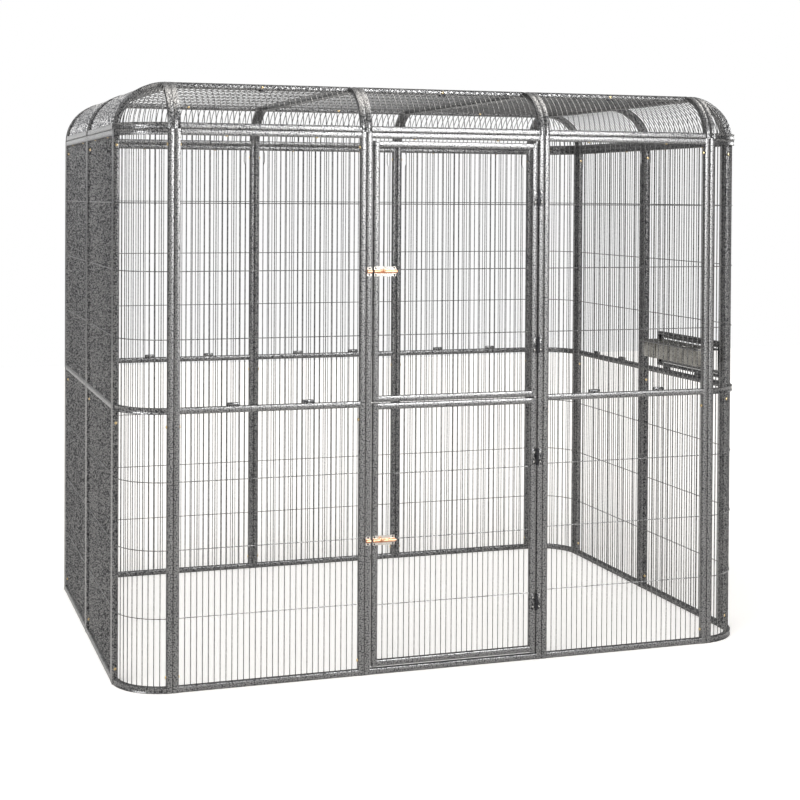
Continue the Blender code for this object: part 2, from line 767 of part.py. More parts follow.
def build_doors(paint, steel, nickel, copper):
    axis_x = OPENING_HALF - DOOR_SIDE_GAP / 2
    axis_y = -HALF_DEPTH - GAP - knuckle_radius()
    sill = TUBE + DOOR_SILL_GAP
    head = WALL_HEIGHT - TUBE - DOOR_TOP_GAP
    half_split = DOOR_SPLIT_GAP / 2
    leaves = (
        ("upper", DOOR_SPLIT_HEIGHT + half_split, head, UPPER_HINGE_INSETS, UPPER_BOLT_ABOVE_MIDDLE),
        ("lower", sill, DOOR_SPLIT_HEIGHT - half_split, LOWER_HINGE_INSETS, LOWER_BOLT_ABOVE_MIDDLE),
    )
    bolt_body, bolt_rod, bolt_keeper = make_bolt_body(), make_rod(), make_keeper()
    barrel_y = -HALF_DEPTH - GAP - BARREL_BORE - BARREL_WALL
    body_x = -DOOR_HALF + BOLT_SETBACK
    for which, bottom, top, insets, above_middle in leaves:
        door = f"{which}_door"
        axis = make_axis(f"{door}_axis", (axis_x, axis_y, 0))
        place(door, make_door_leaf(bottom, top, axis_x, axis_y), paint, parent=axis)
        for where, middle in (("top", top - insets["top"]), ("bottom", bottom + insets["bottom"])):
            build_hinge(
                f"{door}_hinge_{where}", HINGE_HEIGHT, HINGE_REACH, 1,
                (axis_x, axis_y, middle), (paint, steel), axis,
            )
        height = (bottom + top) / 2 + above_middle
        on_door = (body_x - axis_x, barrel_y - axis_y, height)
        place(f"{which}_bolt_body", bolt_body, nickel, on_door, 0, axis)
        place(f"{which}_bolt_rod", bolt_rod, copper, on_door, 0, axis)
        keeper_x = -OPENING_HALF - TUBE / 2 - KEEPER_LENGTH / 2
        place(f"{which}_bolt_keeper", bolt_keeper, nickel, (keeper_x, barrel_y, height))


def build_feeder(paint, steel, stainless):
    """The feeder is laid out in its wall panel's frame and turned to the right wall."""
    turn = 90
    turned_by = Matrix.Rotation(math.radians(turn), 3, "Z")
    panel_middle = -BAYS_DEEP * BAY / 2 + BAY / 2

    def on_wall(x, y, z):
        return turned_by @ Vector((panel_middle + x, y - HALF_WIDTH, z))

    (x0, z0), (x1, z1) = feeder_opening()
    axis_x = x0 + FEEDER_CLEARANCE / 2
    axis_y = -GAP - knuckle_radius()
    middle_z = (z0 + z1) / 2
    axis = make_axis("feeder_axis", on_wall(axis_x, axis_y, 0), turn)
    place("feeder_door", make_feeder_door(axis_x, axis_y), paint, parent=axis)
    build_hinge(
        "feeder_hinge", FEEDER_HINGE_HEIGHT, FEEDER_HINGE_REACH, -1,
        on_wall(axis_x, axis_y, middle_z), (paint, steel), axis,
    )
    cell_start, cell_end = rack_depth()
    cup = make_cup()
    rack_start = x0 + FEEDER_CLEARANCE + RACK_INSET
    for k in range(CUPS):
        cup_x = rack_start + (k + 0.5) * rack_pitch()
        cup_y = (cell_start + cell_end) / 2
        spot = (cup_x - axis_x, cup_y - axis_y, CUP_RIM_HEIGHT - CUP_WALL)
        place(f"feeder_cup_{k + 1}", cup, stainless, spot, 0, axis)
    button_x = x1 + FEEDER_FRAME / 2
    spot = on_wall(button_x, FEEDER_FACE - GAP, middle_z)
    place("feeder_latch", make_button(), steel, spot, turn)


def main():
    clear_scene()
    paint = make_material("hammertone_paint", (0.33, 0.33, 0.34), 0.35, 0.6)
    steel = make_material("zinc_steel", (0.55, 0.53, 0.48), 0.35, 1.0)
    nickel = make_material("nickel_plate", (0.80, 0.79, 0.77), 0.18, 1.0)
    copper = make_material("copper_rod", (0.78, 0.38, 0.20), 0.25, 1.0)
    stainless = make_material("stainless_steel", (0.70, 0.69, 0.66), 0.22, 1.0)
    build_walls(paint)
    build_roof(paint)
    build_doors(paint, steel, nickel, copper)
    build_feeder(paint, steel, stainless)


main()
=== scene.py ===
# %% [markdown]
# # A walk-in bird house, dressed for its picture
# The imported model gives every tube, door and cup its place. This lesson gives each of them the
# shape and the finish of the real one: drawn square tube with rounded edges, thin round bars,
# a hammered silver paint, plated bolts and steel cups.
# Everything is in metres, the front faces -Y and the floor is Z = 0.

import math

import bmesh
import bpy
from mathutils import Matrix, Vector


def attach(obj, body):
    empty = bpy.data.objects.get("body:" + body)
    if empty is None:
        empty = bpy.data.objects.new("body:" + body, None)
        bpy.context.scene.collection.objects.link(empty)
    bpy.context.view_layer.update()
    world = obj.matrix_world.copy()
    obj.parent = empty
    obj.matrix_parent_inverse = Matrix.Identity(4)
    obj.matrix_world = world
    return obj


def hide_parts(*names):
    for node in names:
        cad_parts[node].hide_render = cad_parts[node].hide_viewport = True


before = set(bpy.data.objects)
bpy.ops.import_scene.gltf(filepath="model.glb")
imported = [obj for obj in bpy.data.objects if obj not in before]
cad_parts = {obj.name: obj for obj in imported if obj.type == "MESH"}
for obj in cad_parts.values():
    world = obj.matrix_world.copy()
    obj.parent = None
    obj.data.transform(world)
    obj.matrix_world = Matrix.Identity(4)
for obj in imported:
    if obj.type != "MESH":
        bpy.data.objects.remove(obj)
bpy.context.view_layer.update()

# %% [markdown]
# ## The sizes of the house
# The house is bolted together from panels one bay wide, so a few numbers place nearly
# everything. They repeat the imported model's own sizes; the new ones are those of things too
# fine for it, such as the real number of bars and the radius of a tube's edge.

# %% Sizes
BAY = 0.635
BAYS_WIDE = 3
BAYS_DEEP = 2
CORNER_RADIUS = 0.170
EAVE_RISE = 0.158
WALL_TOP = 1.790
MID_RAIL = 0.895
TUBE = 0.020
TUBE_EDGE = 0.0028
SEAM = 0.0003
BAR_RADIUS = 0.0015
BAR_SIDES = 8
WALL_BARS = 30
CORNER_BARS = 10
CROSS_WIRES = (0.236, 0.4525, 0.669, 1.121, 1.3375, 1.554)
WIRE_DEPTH = 0.007
SCREW_HEIGHTS = (0.050, 0.845, 1.740)
LET_IN = 0.0015

HALF_WIDTH = BAYS_WIDE * BAY / 2 + CORNER_RADIUS
HALF_DEPTH = BAYS_DEEP * BAY / 2 + CORNER_RADIUS
ROOF_TOP = WALL_TOP + EAVE_RISE
PANEL_HALF = (BAY - SEAM) / 2
CLEAR_HALF = PANEL_HALF - TUBE
MID_DEPTH = CORNER_RADIUS - TUBE / 2

SIDES = (
    ("front", 0, HALF_DEPTH, ("front_left", "front_middle", "front_right")),
    ("right", 90, HALF_WIDTH, ("right_front", "right_back")),
    ("back", 180, HALF_DEPTH, ("back_right", "back_middle", "back_left")),
    ("left", 270, HALF_WIDTH, ("left_back", "left_front")),
)
CORNERS = (
    ("front_right", 0, 1, -1),
    ("back_right", 90, 1, 1),
    ("back_left", 180, -1, 1),
    ("front_left", 270, -1, -1),
)
print("half width", round(HALF_WIDTH, 4), "half depth", HALF_DEPTH, "roof", ROOF_TOP)

# %% [markdown]
# ## The camera
# The picture was taken with a long lens from in front of the left corner, at about eye height.
# The camera could be placed by eye; here it was fitted to the seams, rails and corners of the
# picture, which gives its place, its turn and its focal length. The lens looks level, and the
# upward shift keeps the upright posts parallel, as a product photographer does.

# %% Camera
FOCAL_PIXELS = 1593.2
FRAME_PIXELS = 800
HORIZON_PIXEL = 218.7
camera_data = bpy.data.cameras.new("camera")
camera_data.sensor_width = 36
camera_data.lens = FOCAL_PIXELS / FRAME_PIXELS * camera_data.sensor_width
camera_data.shift_y = (HORIZON_PIXEL - FRAME_PIXELS / 2) / FRAME_PIXELS
camera_data.clip_start = 0.1
camera_data.clip_end = 100
camera = bpy.data.objects.new("camera", camera_data)
camera.location = (-1.875, -5.797, 1.579)
camera.rotation_euler = (math.radians(89.203), math.radians(-0.334), math.radians(-18.521))
bpy.context.scene.collection.objects.link(camera)
bpy.context.scene.camera = camera
print("lens", round(camera_data.lens, 2), "mm, shift", round(camera_data.shift_y, 4))

# %% [markdown]
# ## Lamps
# One broad sun stands in for a large softbox above the left shoulder, because its light is the
# same all over the floor. The other softboxes only show in the gloss: the one behind the
# camera brightens the upper half of the front, the one overhead runs along the bent arches,
# the one at the front left draws lines down the round bars, and the rest do the same for
# whoever walks round the house.

# %% Lamps
SUN_LIGHT = 1.35
DAYLIGHT = (1.0, 1.0, 1.0)
CREAM = (1.0, 0.96, 0.90)

scene = bpy.context.scene
scene.view_settings.view_transform = "Standard"


def hang_lamp(name, data, toward):
    """Places a lamp that shines against a direction."""
    lamp = bpy.data.objects.new(name, data)
    lamp.rotation_euler = Vector(toward).to_track_quat("Z", "Y").to_euler()
    scene.collection.objects.link(lamp)
    return lamp


def softbox(name, place, aim, size, brightness, tint=DAYLIGHT):
    """A bright rectangle that only reflections see."""
    data = bpy.data.lights.new(name, "AREA")
    data.shape = "RECTANGLE"
    data.size, data.size_y = size
    data.energy = brightness * math.pi * size[0] * size[1]
    data.color = tint
    lamp = hang_lamp(name, data, Vector(place) - Vector(aim))
    lamp.location = place
    lamp.visible_diffuse = False
    lamp.visible_camera = False


sun = bpy.data.lights.new("softbox_above_left", "SUN")
sun.energy = SUN_LIGHT
sun.angle = math.radians(50)
hang_lamp("softbox_above_left", sun, (-0.55, -0.62, 1.0))
softbox("softbox_front", (2.2, -6.8, 2.9), (0, -0.8, 1.6), (2.4, 2.4), 17.0)
softbox("softbox_overhead", (0, -0.4, 4.6), (0, 0, 1.9), (4.0, 3.0), 3.4, CREAM)
softbox("softbox_left", (-6.8, 2.2, 2.9), (-1.1, 0, 1.6), (2.2, 2.4), 1.5)
softbox("softbox_front_left", (-7.0, -3.5, 3.2), (-1.1, 0, 1.6), (3.0, 2.4), 14.0)
softbox("softbox_right", (6.8, 2.2, 2.9), (1.1, 0, 1.6), (2.2, 2.4), 6.0)
softbox("softbox_back", (-2.2, 6.8, 2.9), (0, 0.8, 1.6), (2.4, 2.4), 0.9)
print("lamps:", [light.name for light in bpy.data.lights])

# %% [markdown]
# ## Shader maths as Python
# A material is a net of nodes. Wiring each by hand hides the idea, so one small class wraps a
# socket: `+`, `-` and `*` add a Math node, and `make` adds any other node, its settings first
# and then the values or links of its sockets.

# %% Wire
class Wire:
    """One socket of a material's nodes."""

    def __init__(self, tree, socket):
        self.tree = tree
        self.socket = socket

    def make(self, kind, settings=None, values=None, output=0):
        node = self.tree.nodes.new(kind)
        for key, value in (settings or {}).items():
            if key == "stops":
                set_stops(node.color_ramp, value)
            else:
                setattr(node, key, value)
        for key, value in (values or {}).items():
            if isinstance(value, Wire):
                self.tree.links.new(value.socket, node.inputs[key])
            else:
                node.inputs[key].default_value = value
        return None if output is None else Wire(self.tree, node.outputs[output])

    def math(self, operation, *values):
        return self.make("ShaderNodeMath", {"operation": operation}, dict(enumerate(values)))

    def ramp(self, *stops):
        return self.make("ShaderNodeValToRGB", {"stops": stops}, {"Fac": self}, "Color")

    def clamp(self):
        return self.make("ShaderNodeClamp", {}, {"Value": self})

    def ease(self, low, high):
        """0 below low, 1 above high and smooth between."""
        return self.make(
            "ShaderNodeMapRange", {"interpolation_type": "SMOOTHSTEP"},
            {"Value": self, "From Min": low, "From Max": high},
        )

    def part(self, axis):
        """One of a vector's X, Y or Z."""
        return self.make("ShaderNodeSeparateXYZ", {}, {0: self}, axis)

    def __add__(self, other):
        return self.math("ADD", self, other)

    def __sub__(self, other):
        return self.math("SUBTRACT", self, other)

    def __rsub__(self, other):
        return self.math("SUBTRACT", other, self)

    def __mul__(self, other):
        return self.math("MULTIPLY", self, other)


def set_stops(ramp, stops):
    """Places a ramp's colours; each stop is (place, grey) or (place, (r, g, b))."""
    while len(ramp.elements) < len(stops):
        ramp.elements.new(0.5)
    for element, (place, tone) in zip(ramp.elements, stops):
        colour = tone if isinstance(tone, tuple) else (tone, tone, tone)
        element.position = place
        element.color = (*colour, 1)


def start_finish(name):
    """A new material, its Principled shader and a wire with the place on the object."""
    material = bpy.data.materials.new(name)
    material.use_nodes = True
    tree = material.node_tree
    coordinates = tree.nodes.new("ShaderNodeTexCoord")
    return material, tree.nodes["Principled BSDF"], Wire(tree, coordinates.outputs["Object"])


def plug_in(shader, sockets):
    """Sets or links the shader's sockets."""
    for key, value in sockets.items():
        if isinstance(value, Wire):
            value.tree.links.new(value.socket, shader.inputs[key])
        else:
            shader.inputs[key].default_value = value


print("wires ready")

# %% [markdown]
# ## The studio's room
# The background is white to the camera. In the gloss it is white only straight behind the
# house, where the long left wall mirrors it, and pale overhead. The rest of the room is dim,
# as a studio is, so that the tubes get dark edges beside their bright faces. As a lamp the
# same world is weaker and even.

# %% World
WORLD_LIGHT = 0.62
DIM_ROOM = 0.14
OVERHEAD_SHINE = 0.8

world = bpy.data.worlds.new("studio")
scene.world = world
world.use_nodes = True
sky = world.node_tree
sky.nodes.clear()
toward = Wire(sky, sky.nodes.new("ShaderNodeTexCoord").outputs["Generated"])
height = toward.part("Z")
behind = toward.part("Y").ease(0.965, 0.992) * (1 - toward.part("X").ease(-0.10, -0.02))
low = height.ease(-0.14, -0.06) * (1 - height.ease(0.06, 0.11))
overhead = height.ease(0.25, 0.90) * OVERHEAD_SHINE
room = behind.math("MAXIMUM", behind * low, overhead) * (1 - DIM_ROOM) + DIM_ROOM
camera_ray = toward.make("ShaderNodeLightPath", output="Is Camera Ray")
glass_ray = toward.make("ShaderNodeLightPath", output="Is Transmission Ray")
gloss_ray = toward.make("ShaderNodeLightPath", output="Is Glossy Ray")
plain = camera_ray.math("MAXIMUM", camera_ray, glass_ray)
strength = plain + (1 - plain) * (gloss_ray * room + (1 - gloss_ray) * WORLD_LIGHT)
backdrop = toward.make(
    "ShaderNodeBackground", {}, {"Color": (1, 1, 1, 1), "Strength": strength}, "Background"
)
toward.make("ShaderNodeOutputWorld", {}, {"Surface": backdrop}, None)
print("dim side of the room:", DIM_ROOM)

# %% [markdown]
# ## The floor
# A matt white plane, which keeps the shadow that the bars throw. Beyond the house it should
# run into the white background, so Light Path adds a little glow: for the camera and, about a
# third as strong, for reflections, since the posts' feet mirror the floor and stay dark. The
# floor ends some metres behind the house, so that the undersides of the roof beams mirror the
# dim room there. Faint clouds keep it from being one flat number.

# %% Floor
FLOOR_GLOW = 0.38
MIRRORED_GLOW = 0.35
FLOOR_HALF = 24
FLOOR_SHIFT = -15
FLOOR_DROP = 0.0003
CLOUD_SCALE = 1.5

floor_bm = bmesh.new()
bmesh.ops.create_grid(floor_bm, x_segments=1, y_segments=1, size=FLOOR_HALF)
floor_mesh = bpy.data.meshes.new("studio_floor")
floor_bm.to_mesh(floor_mesh)
floor_bm.free()
floor = bpy.data.objects.new("studio_floor", floor_mesh)
floor.location = (0, FLOOR_SHIFT, -FLOOR_DROP)
scene.collection.objects.link(floor)

floor_white, shader, spot = start_finish("floor_white")
clouds = spot.make(
    "ShaderNodeTexNoise", {}, {"Vector": spot, "Scale": CLOUD_SCALE, "Detail": 2.0}
)
path = spot.make("ShaderNodeLightPath", output="Is Camera Ray")
mirror = spot.make("ShaderNodeLightPath", output="Is Glossy Ray")
plug_in(shader, {
    "Base Color": (clouds * 0.02 + 0.87).ramp((0.0, 0.0), (1.0, (1.0, 0.980, 0.952))),
    "Roughness": 0.9,
    "Specular IOR Level": 0.1,
    "Emission Color": (1.0, 0.985, 0.965, 1),
    "Emission Strength": path.math("MAXIMUM", path, mirror * MIRRORED_GLOW) * FLOOR_GLOW,
})
floor_mesh.materials.append(floor_white)
print(floor_white.name, "glow", FLOOR_GLOW)

# %% [markdown]
# ## The finishes
# ### Hammered silver paint
# The tubes and bars carry a powder coat that dries into silver islands with dark veins
# between them, about five millimetres across. It could be a noise, but the islands have
# edges, so Voronoi cells give the islands and a fine noise gives the grains of aluminium in
# them. The islands also stand up a little, which a Bump node shows in the highlights, and a
# thin clear coat over it all gives a soft shine along the rounded edges.

# %% Hammered paint
ISLAND = 0.0048
ISLAND_RELIEF = 0.00004
GRAIN_SCALE = 380.0
PATCH_SCALE = 9.0


def hammered_paint():
    material, shader, spot = start_finish("hammertone_paint")
    island = spot.make(
        "ShaderNodeTexVoronoi", {"feature": "F1"},
        {"Vector": spot, "Scale": 1 / ISLAND, "Randomness": 0.6}, "Distance",
    )
    grains = spot.make(
        "ShaderNodeTexNoise", {}, {"Vector": spot, "Scale": GRAIN_SCALE, "Detail": 2.0}
    )
    patches = spot.make(
        "ShaderNodeTexNoise", {}, {"Vector": spot, "Scale": PATCH_SCALE, "Detail": 3.0}
    )
    silver = (1.02 - island * 1.15) + (grains - 0.5) * 0.6 + (patches - 0.5) * 0.12
    tone = silver.ramp(
        (0.20, (0.018, 0.019, 0.021)),
        (0.40, (0.085, 0.085, 0.089)),
        (0.55, (0.250, 0.249, 0.249)),
        (0.95, (0.320, 0.318, 0.313)),
    )
    relief = spot.make(
        "ShaderNodeBump", {},
        {"Strength": 0.55, "Distance": ISLAND_RELIEF, "Height": silver}, "Normal",
    )
    plug_in(shader, {
        "Base Color": tone,
        "Metallic": silver.ramp((0.2, 0.75), (0.8, 0.97)),
        "Roughness": silver.ramp((0.2, 0.42), (0.8, 0.32)),
        "Coat Weight": 0.3,
        "Coat Roughness": 0.24,
        "Normal": relief,
    })
    return material


paint = hammered_paint()
print(paint.name, "islands", ISLAND * 1000, "mm")

# %% [markdown]
# ### Plated and bare metals
# The bolts have bright nickel plates and copper-coloured barrels, the seam screws are yellow
# zinc, the hinge pins and knuckles are black as painted shade round the hinges' axes, and the
# cups are drawn stainless steel. All are metals, so what tells them apart is colour, roughness
# and the direction of the fine marks on them: one function makes them from those.

# %% Metals
MARK_DEPTH = 0.00002
EVEN = (1, 1, 1)


def metal(name, dark, light, marks, stretch, roughness):
    """A metal whose colour and roughness wander with fine marks stretched along an axis."""
    material, shader, spot = start_finish(name)
    along = spot.make("ShaderNodeMapping", {}, {"Vector": spot, "Scale": stretch})
    fine = spot.make(
        "ShaderNodeTexNoise", {}, {"Vector": along, "Scale": marks, "Detail": 4.0}
    )
    broad = spot.make(
        "ShaderNodeTexNoise", {}, {"Vector": spot, "Scale": marks / 8, "Detail": 2.0}
    )
    wear = (fine * 0.6 + broad * 0.4).clamp()
    low, high = roughness
    relief = spot.make(
        "ShaderNodeBump", {}, {"Strength": 0.35, "Distance": MARK_DEPTH, "Height": fine}, "Normal"
    )
    plug_in(shader, {
        "Base Color": wear.ramp((0.32, dark), (0.66, light)),
        "Metallic": 1.0,
        "Roughness": wear.ramp((0.3, low), (0.7, high)),
        "Normal": relief,
    })
    return material


nickel = metal(
    "nickel_plate", (0.50, 0.47, 0.43), (0.80, 0.76, 0.71), 260.0, EVEN, (0.16, 0.30)
)
copper = metal(
    "copper_plate", (0.58, 0.26, 0.14), (0.88, 0.52, 0.34), 240.0, (0.3, 1, 1), (0.24, 0.38)
)
zinc = metal("yellow_zinc", (0.50, 0.36, 0.16), (0.86, 0.68, 0.40), 300.0, EVEN, (0.22, 0.42))
steel = metal("grey_zinc", (0.36, 0.35, 0.33), (0.62, 0.61, 0.58), 300.0, EVEN, (0.25, 0.45))
# Black steel for the bolt screws and roof clips; on the hinge knuckles and pins the black is
# painted shade round the hinge's axis.
black = metal(
    "black_steel_and_painted_shade", (0.012, 0.012, 0.014), (0.06, 0.06, 0.065), 300.0, EVEN, (0.30, 0.5)
)
cup_steel = metal(
    "stainless_steel", (0.16, 0.155, 0.14), (0.42, 0.41, 0.38), 420.0, (1, 1, 0.06), (0.16, 0.32)
)
print("metals:", [m.name for m in (nickel, copper, zinc, steel, black, cup_steel)])

# %% [markdown]
# ## Stock
# Square tube, round bar and flat plate make the whole house. A bevel on the long edges of a
# cube gives drawn tube; a cone with equal radii gives bar; and a bevel on the edges that run
# through a plate rounds its corners.

# %% Straight stock
def box_verts(bm, low, high):
    low, high = Vector(low), Vector(high)
    spot = Matrix.Translation((low + high) / 2) @ Matrix.Diagonal((*(high - low), 1))
    return bmesh.ops.create_cube(bm, size=1, matrix=spot)["verts"]


def edges_of(verts):
    """The edges at these corners, each once and in the same order in every run."""
    return list(dict.fromkeys(edge for vert in verts for edge in vert.link_edges))


def edges_along(verts, axis):
    """The edges of these corners that run along an axis (0, 1 or 2)."""
    across = [k for k in range(3) if k != axis]
    straight = []
    for edge in edges_of(verts):
        step = edge.verts[1].co - edge.verts[0].co
        if all(abs(step[k]) < 1e-7 for k in across):
            straight.append(edge)
    return straight


def round_off(bm, edges, radius, segments=2):
    return bmesh.ops.bevel(
        bm, geom=edges, offset=radius, offset_type="OFFSET", segments=segments,
        profile=0.5, affect="EDGES", material=-1,
    )


def add_tube(bm, low, high, edge=TUBE_EDGE):
    """A straight square tube between two corners, its long edges rounded."""
    verts = box_verts(bm, low, high)
    size = [b - a for a, b in zip(low, high)]
    round_off(bm, edges_along(verts, size.index(max(size))), edge)


def add_plate(bm, low, high, corner, axis, segments=4):
    """A flat plate whose corners are rounded about the axis through its thickness."""
    verts = box_verts(bm, low, high)
    return round_off(bm, edges_along(verts, axis), corner, segments)


def add_block(bm, low, high, edge):
    """A small block with every edge rounded."""
    verts = box_verts(bm, low, high)
    round_off(bm, edges_of(verts), edge)


def add_bar(bm, start, end, radius=BAR_RADIUS, sides=BAR_SIDES):
    """A round bar between two points."""
    start, end = Vector(start), Vector(end)
    along = end - start
    turn = along.to_track_quat("Z", "Y").to_matrix().to_4x4()
    cone = bmesh.ops.create_cone(
        bm, cap_ends=True, cap_tris=False, segments=sides, radius1=radius, radius2=radius,
        depth=along.length, matrix=Matrix.Translation((start + end) / 2) @ turn,
    )
    return cone["verts"]


print("stock: tube", TUBE * 1000, "mm, bar", BAR_RADIUS * 2000, "mm")

# %% [markdown]
# ### Rolled stock
# The corners and eaves are the same tube and bar rolled to a quarter circle. Rolling a square
# tube stretches its outer wall, which sinks in: the picture shows it as a dark groove between
# two bright edges. So the section is drawn once with a dished outer side and spun round Z, and
# what stands upright is tipped over afterwards.

# %% Rolled stock
ROLL_STEPS = 14
DISH = 0.0030
SECTION = Matrix(((0, 0, 1, 0), (1, 0, 0, 0), (0, 1, 0, 0), (0, 0, 0, 1)))


def absorb(target, source):
    """Adds one bmesh to another and frees it."""
    mesh = bpy.data.meshes.new("passing")
    source.to_mesh(mesh)
    source.free()
    target.from_mesh(mesh)
    bpy.data.meshes.remove(mesh)


def turn_all(bm, degrees, axis):
    bmesh.ops.rotate(
        bm, verts=bm.verts[:], cent=(0, 0, 0),
        matrix=Matrix.Rotation(math.radians(degrees), 3, axis),
    )


def spin_section(bm, degrees, steps):
    """Spins the whole section round Z and points its faces outwards."""
    bmesh.ops.spin(
        bm, geom=bm.verts[:] + bm.edges[:] + bm.faces[:], cent=(0, 0, 0), axis=(0, 0, 1),
        angle=math.radians(degrees), steps=steps, use_merge=False,
    )
    bmesh.ops.recalc_face_normals(bm, faces=bm.faces[:])


def rolled_tube(low, high, start, end, dish=DISH):
    """Square tube rolled round Z between two angles, in degrees from -Y towards +X."""
    bm = bmesh.new()
    half_height, middle = (high - low) / 2, CORNER_RADIUS - TUBE / 2
    place = Matrix.Translation((0, -middle, (low + high) / 2)) @ SECTION
    size = Matrix.Diagonal((TUBE / 2, half_height, 1, 1))
    bmesh.ops.create_grid(bm, x_segments=1, y_segments=6, size=1, matrix=place @ size)
    for vert in bm.verts:
        across = (vert.co.z - (low + high) / 2) / half_height
        if vert.co.y < -middle:
            vert.co.y += dish * (1 - across * across)
    bmesh.ops.dissolve_faces(bm, faces=bm.faces[:])
    corners = [
        v for v in bm.verts if min(abs(v.co.z - low), abs(v.co.z - high)) < 1e-6
    ]
    bmesh.ops.bevel(
        bm, geom=corners, offset=TUBE_EDGE, offset_type="OFFSET", segments=2, profile=0.5,
        affect="VERTICES", material=-1,
    )
    turn_all(bm, start, "Z")
    steps = max(2, round(ROLL_STEPS * (end - start) / 90))
    spin_section(bm, end - start, steps)
    return bm


def rolled_bar(radius, height, start, end, sides=6):
    """Round bar rolled round Z."""
    bm = bmesh.new()
    bmesh.ops.create_circle(
        bm, cap_ends=True, radius=BAR_RADIUS, segments=sides,
        matrix=Matrix.Translation((0, -radius, height)) @ SECTION,
    )
    turn_all(bm, start, "Z")
    spin_section(bm, end - start, max(2, round(10 * (end - start) / 90)))
    return bm


def tip_up(bm, x=0, inwards=0, radius=CORNER_RADIUS, rise=EAVE_RISE):
    """Tips what was rolled round Z to be rolled round X, rising a little less than its radius."""
    turn_all(bm, -90, "Y")
    bmesh.ops.scale(bm, verts=bm.verts[:], vec=(1, 1, rise / radius))
    bmesh.ops.translate(bm, verts=bm.verts[:], vec=(x, inwards, 0))
    return bm


trial = rolled_tube(0, TUBE, 0, 90)
print("rolled tube:", len(trial.faces), "faces")
trial.free()

# %% [markdown]
# ## Pieces
# A finished piece has its place in its mesh and its object at the origin, because the paint
# is read from Object coordinates and would slide otherwise. `show` does that, smooths the
# rounded edges and keeps the sharp ones, hangs the piece on its body and hides the imported
# node that it stands for.

# %% Show a piece
SHARP = math.radians(40)


def show(name, mesh, finish, place=None, body="cage", nodes=()):
    """Makes an object of a mesh at its place; the mesh is used up."""
    if place is not None:
        mesh.transform(place)
    mesh.materials.clear()
    mesh.materials.append(finish)
    mesh.shade_smooth()
    mesh.set_sharp_from_angle(angle=SHARP)
    item = bpy.data.objects.new(name, mesh)
    scene.collection.objects.link(item)
    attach(item, body)
    if nodes:
        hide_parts(*nodes)
    return item


def as_mesh(bm, name):
    mesh = bpy.data.meshes.new(name)
    bm.to_mesh(mesh)
    bm.free()
    return mesh


def wall_place(turn, distance, along, height=0):
    """The matrix of a panel: its own X runs along the wall and its own Y points inwards."""
    turned = Matrix.Rotation(math.radians(turn), 4, "Z")
    return turned @ Matrix.Translation((along, -distance, height))


def bay_offset(k, count):
    return (k + 0.5 - count / 2) * BAY


print("place of the front left bay:", wall_place(0, HALF_DEPTH, bay_offset(0, 3)).translation)

# %% [markdown]
# ## The wall panels
# A panel is two posts with a bottom, a middle and a top rail between them, thirty upright
# bars and six cross wires. The bars run through the rails at mid depth and the wires are
# welded across their outer side. In the side and back walls the first and the last bar step
# aside where the upper screw goes through the post beside them. Two small saddles sit on the
# middle rail.

# %% Panel parts
BAR_PITCH = 2 * CLEAR_HALF / (WALL_BARS + 1)
STEP_ASIDE = 0.0045
STEP_HEIGHT = SCREW_HEIGHTS[-1]
STEP_BENDS = (-0.032, -0.016, 0.016, 0.032)
STEP_REACH = 0.020
RAILS = (TUBE / 2, MID_RAIL, WALL_TOP - TUBE / 2)
SADDLE_PLACE = 0.123
SADDLE_HALF = 0.020
SADDLE_DEPTH = (0.0025, 0.0155)
SADDLE_HEIGHT = 0.0115
SADDLE_EDGE = 0.0030
PEG_HALF = 0.0215
PEG_HEIGHT = 0.0055
PEG_RADIUS = 0.0028


def panel_bar_places():
    return [-CLEAR_HALF + BAR_PITCH * (k + 1) for k in range(WALL_BARS)]


def add_stepped_bar(bm, x, bottom, top, aside):
    """An upright bar that steps aside round the upper seam screw."""
    piece = bmesh.new()
    add_bar(piece, (x, TUBE / 2, bottom), (x, TUBE / 2, top))
    for away in STEP_BENDS:
        if STEP_HEIGHT + away < top - 0.002:
            bmesh.ops.bisect_plane(
                piece, geom=piece.verts[:] + piece.edges[:] + piece.faces[:],
                plane_co=(0, 0, STEP_HEIGHT + away), plane_no=(0, 0, 1), dist=1e-6,
            )
    for vert in piece.verts:
        if abs(vert.co.z - STEP_HEIGHT) < STEP_REACH:
            vert.co.x += aside
    absorb(bm, piece)


def add_upright_bars(bm, places, bottom, top):
    for x in places:
        add_bar(bm, (x, TUBE / 2, bottom), (x, TUBE / 2, top))


def add_cross_wires(bm, left, right, heights):
    for z in heights:
        add_bar(bm, (left - LET_IN, WIRE_DEPTH, z), (right + LET_IN, WIRE_DEPTH, z))


def add_posts_and_rails(bm, rail_heights):
    for side in (-1, 1):
        x0, x1 = sorted((side * CLEAR_HALF, side * PANEL_HALF))
        add_tube(bm, (x0, 0, 0), (x1, TUBE, WALL_TOP))
    for z in rail_heights:
        add_tube(
            bm, (-CLEAR_HALF - LET_IN, 0, z - TUBE / 2), (CLEAR_HALF + LET_IN, TUBE, z + TUBE / 2)
        )


def add_saddles(bm):
    """Two small blocks on the middle rail, each with a peg through it."""
    top = MID_RAIL + TUBE / 2
    front, back = SADDLE_DEPTH
    peg_y, peg_z = (front + back) / 2, top + PEG_HEIGHT
    for side in (-1, 1):
        x = side * SADDLE_PLACE
        add_block(
            bm, (x - SADDLE_HALF, front, top - LET_IN),
            (x + SADDLE_HALF, back, top + SADDLE_HEIGHT), SADDLE_EDGE,
        )
        add_bar(bm, (x - PEG_HALF, peg_y, peg_z), (x + PEG_HALF, peg_y, peg_z), PEG_RADIUS, 12)


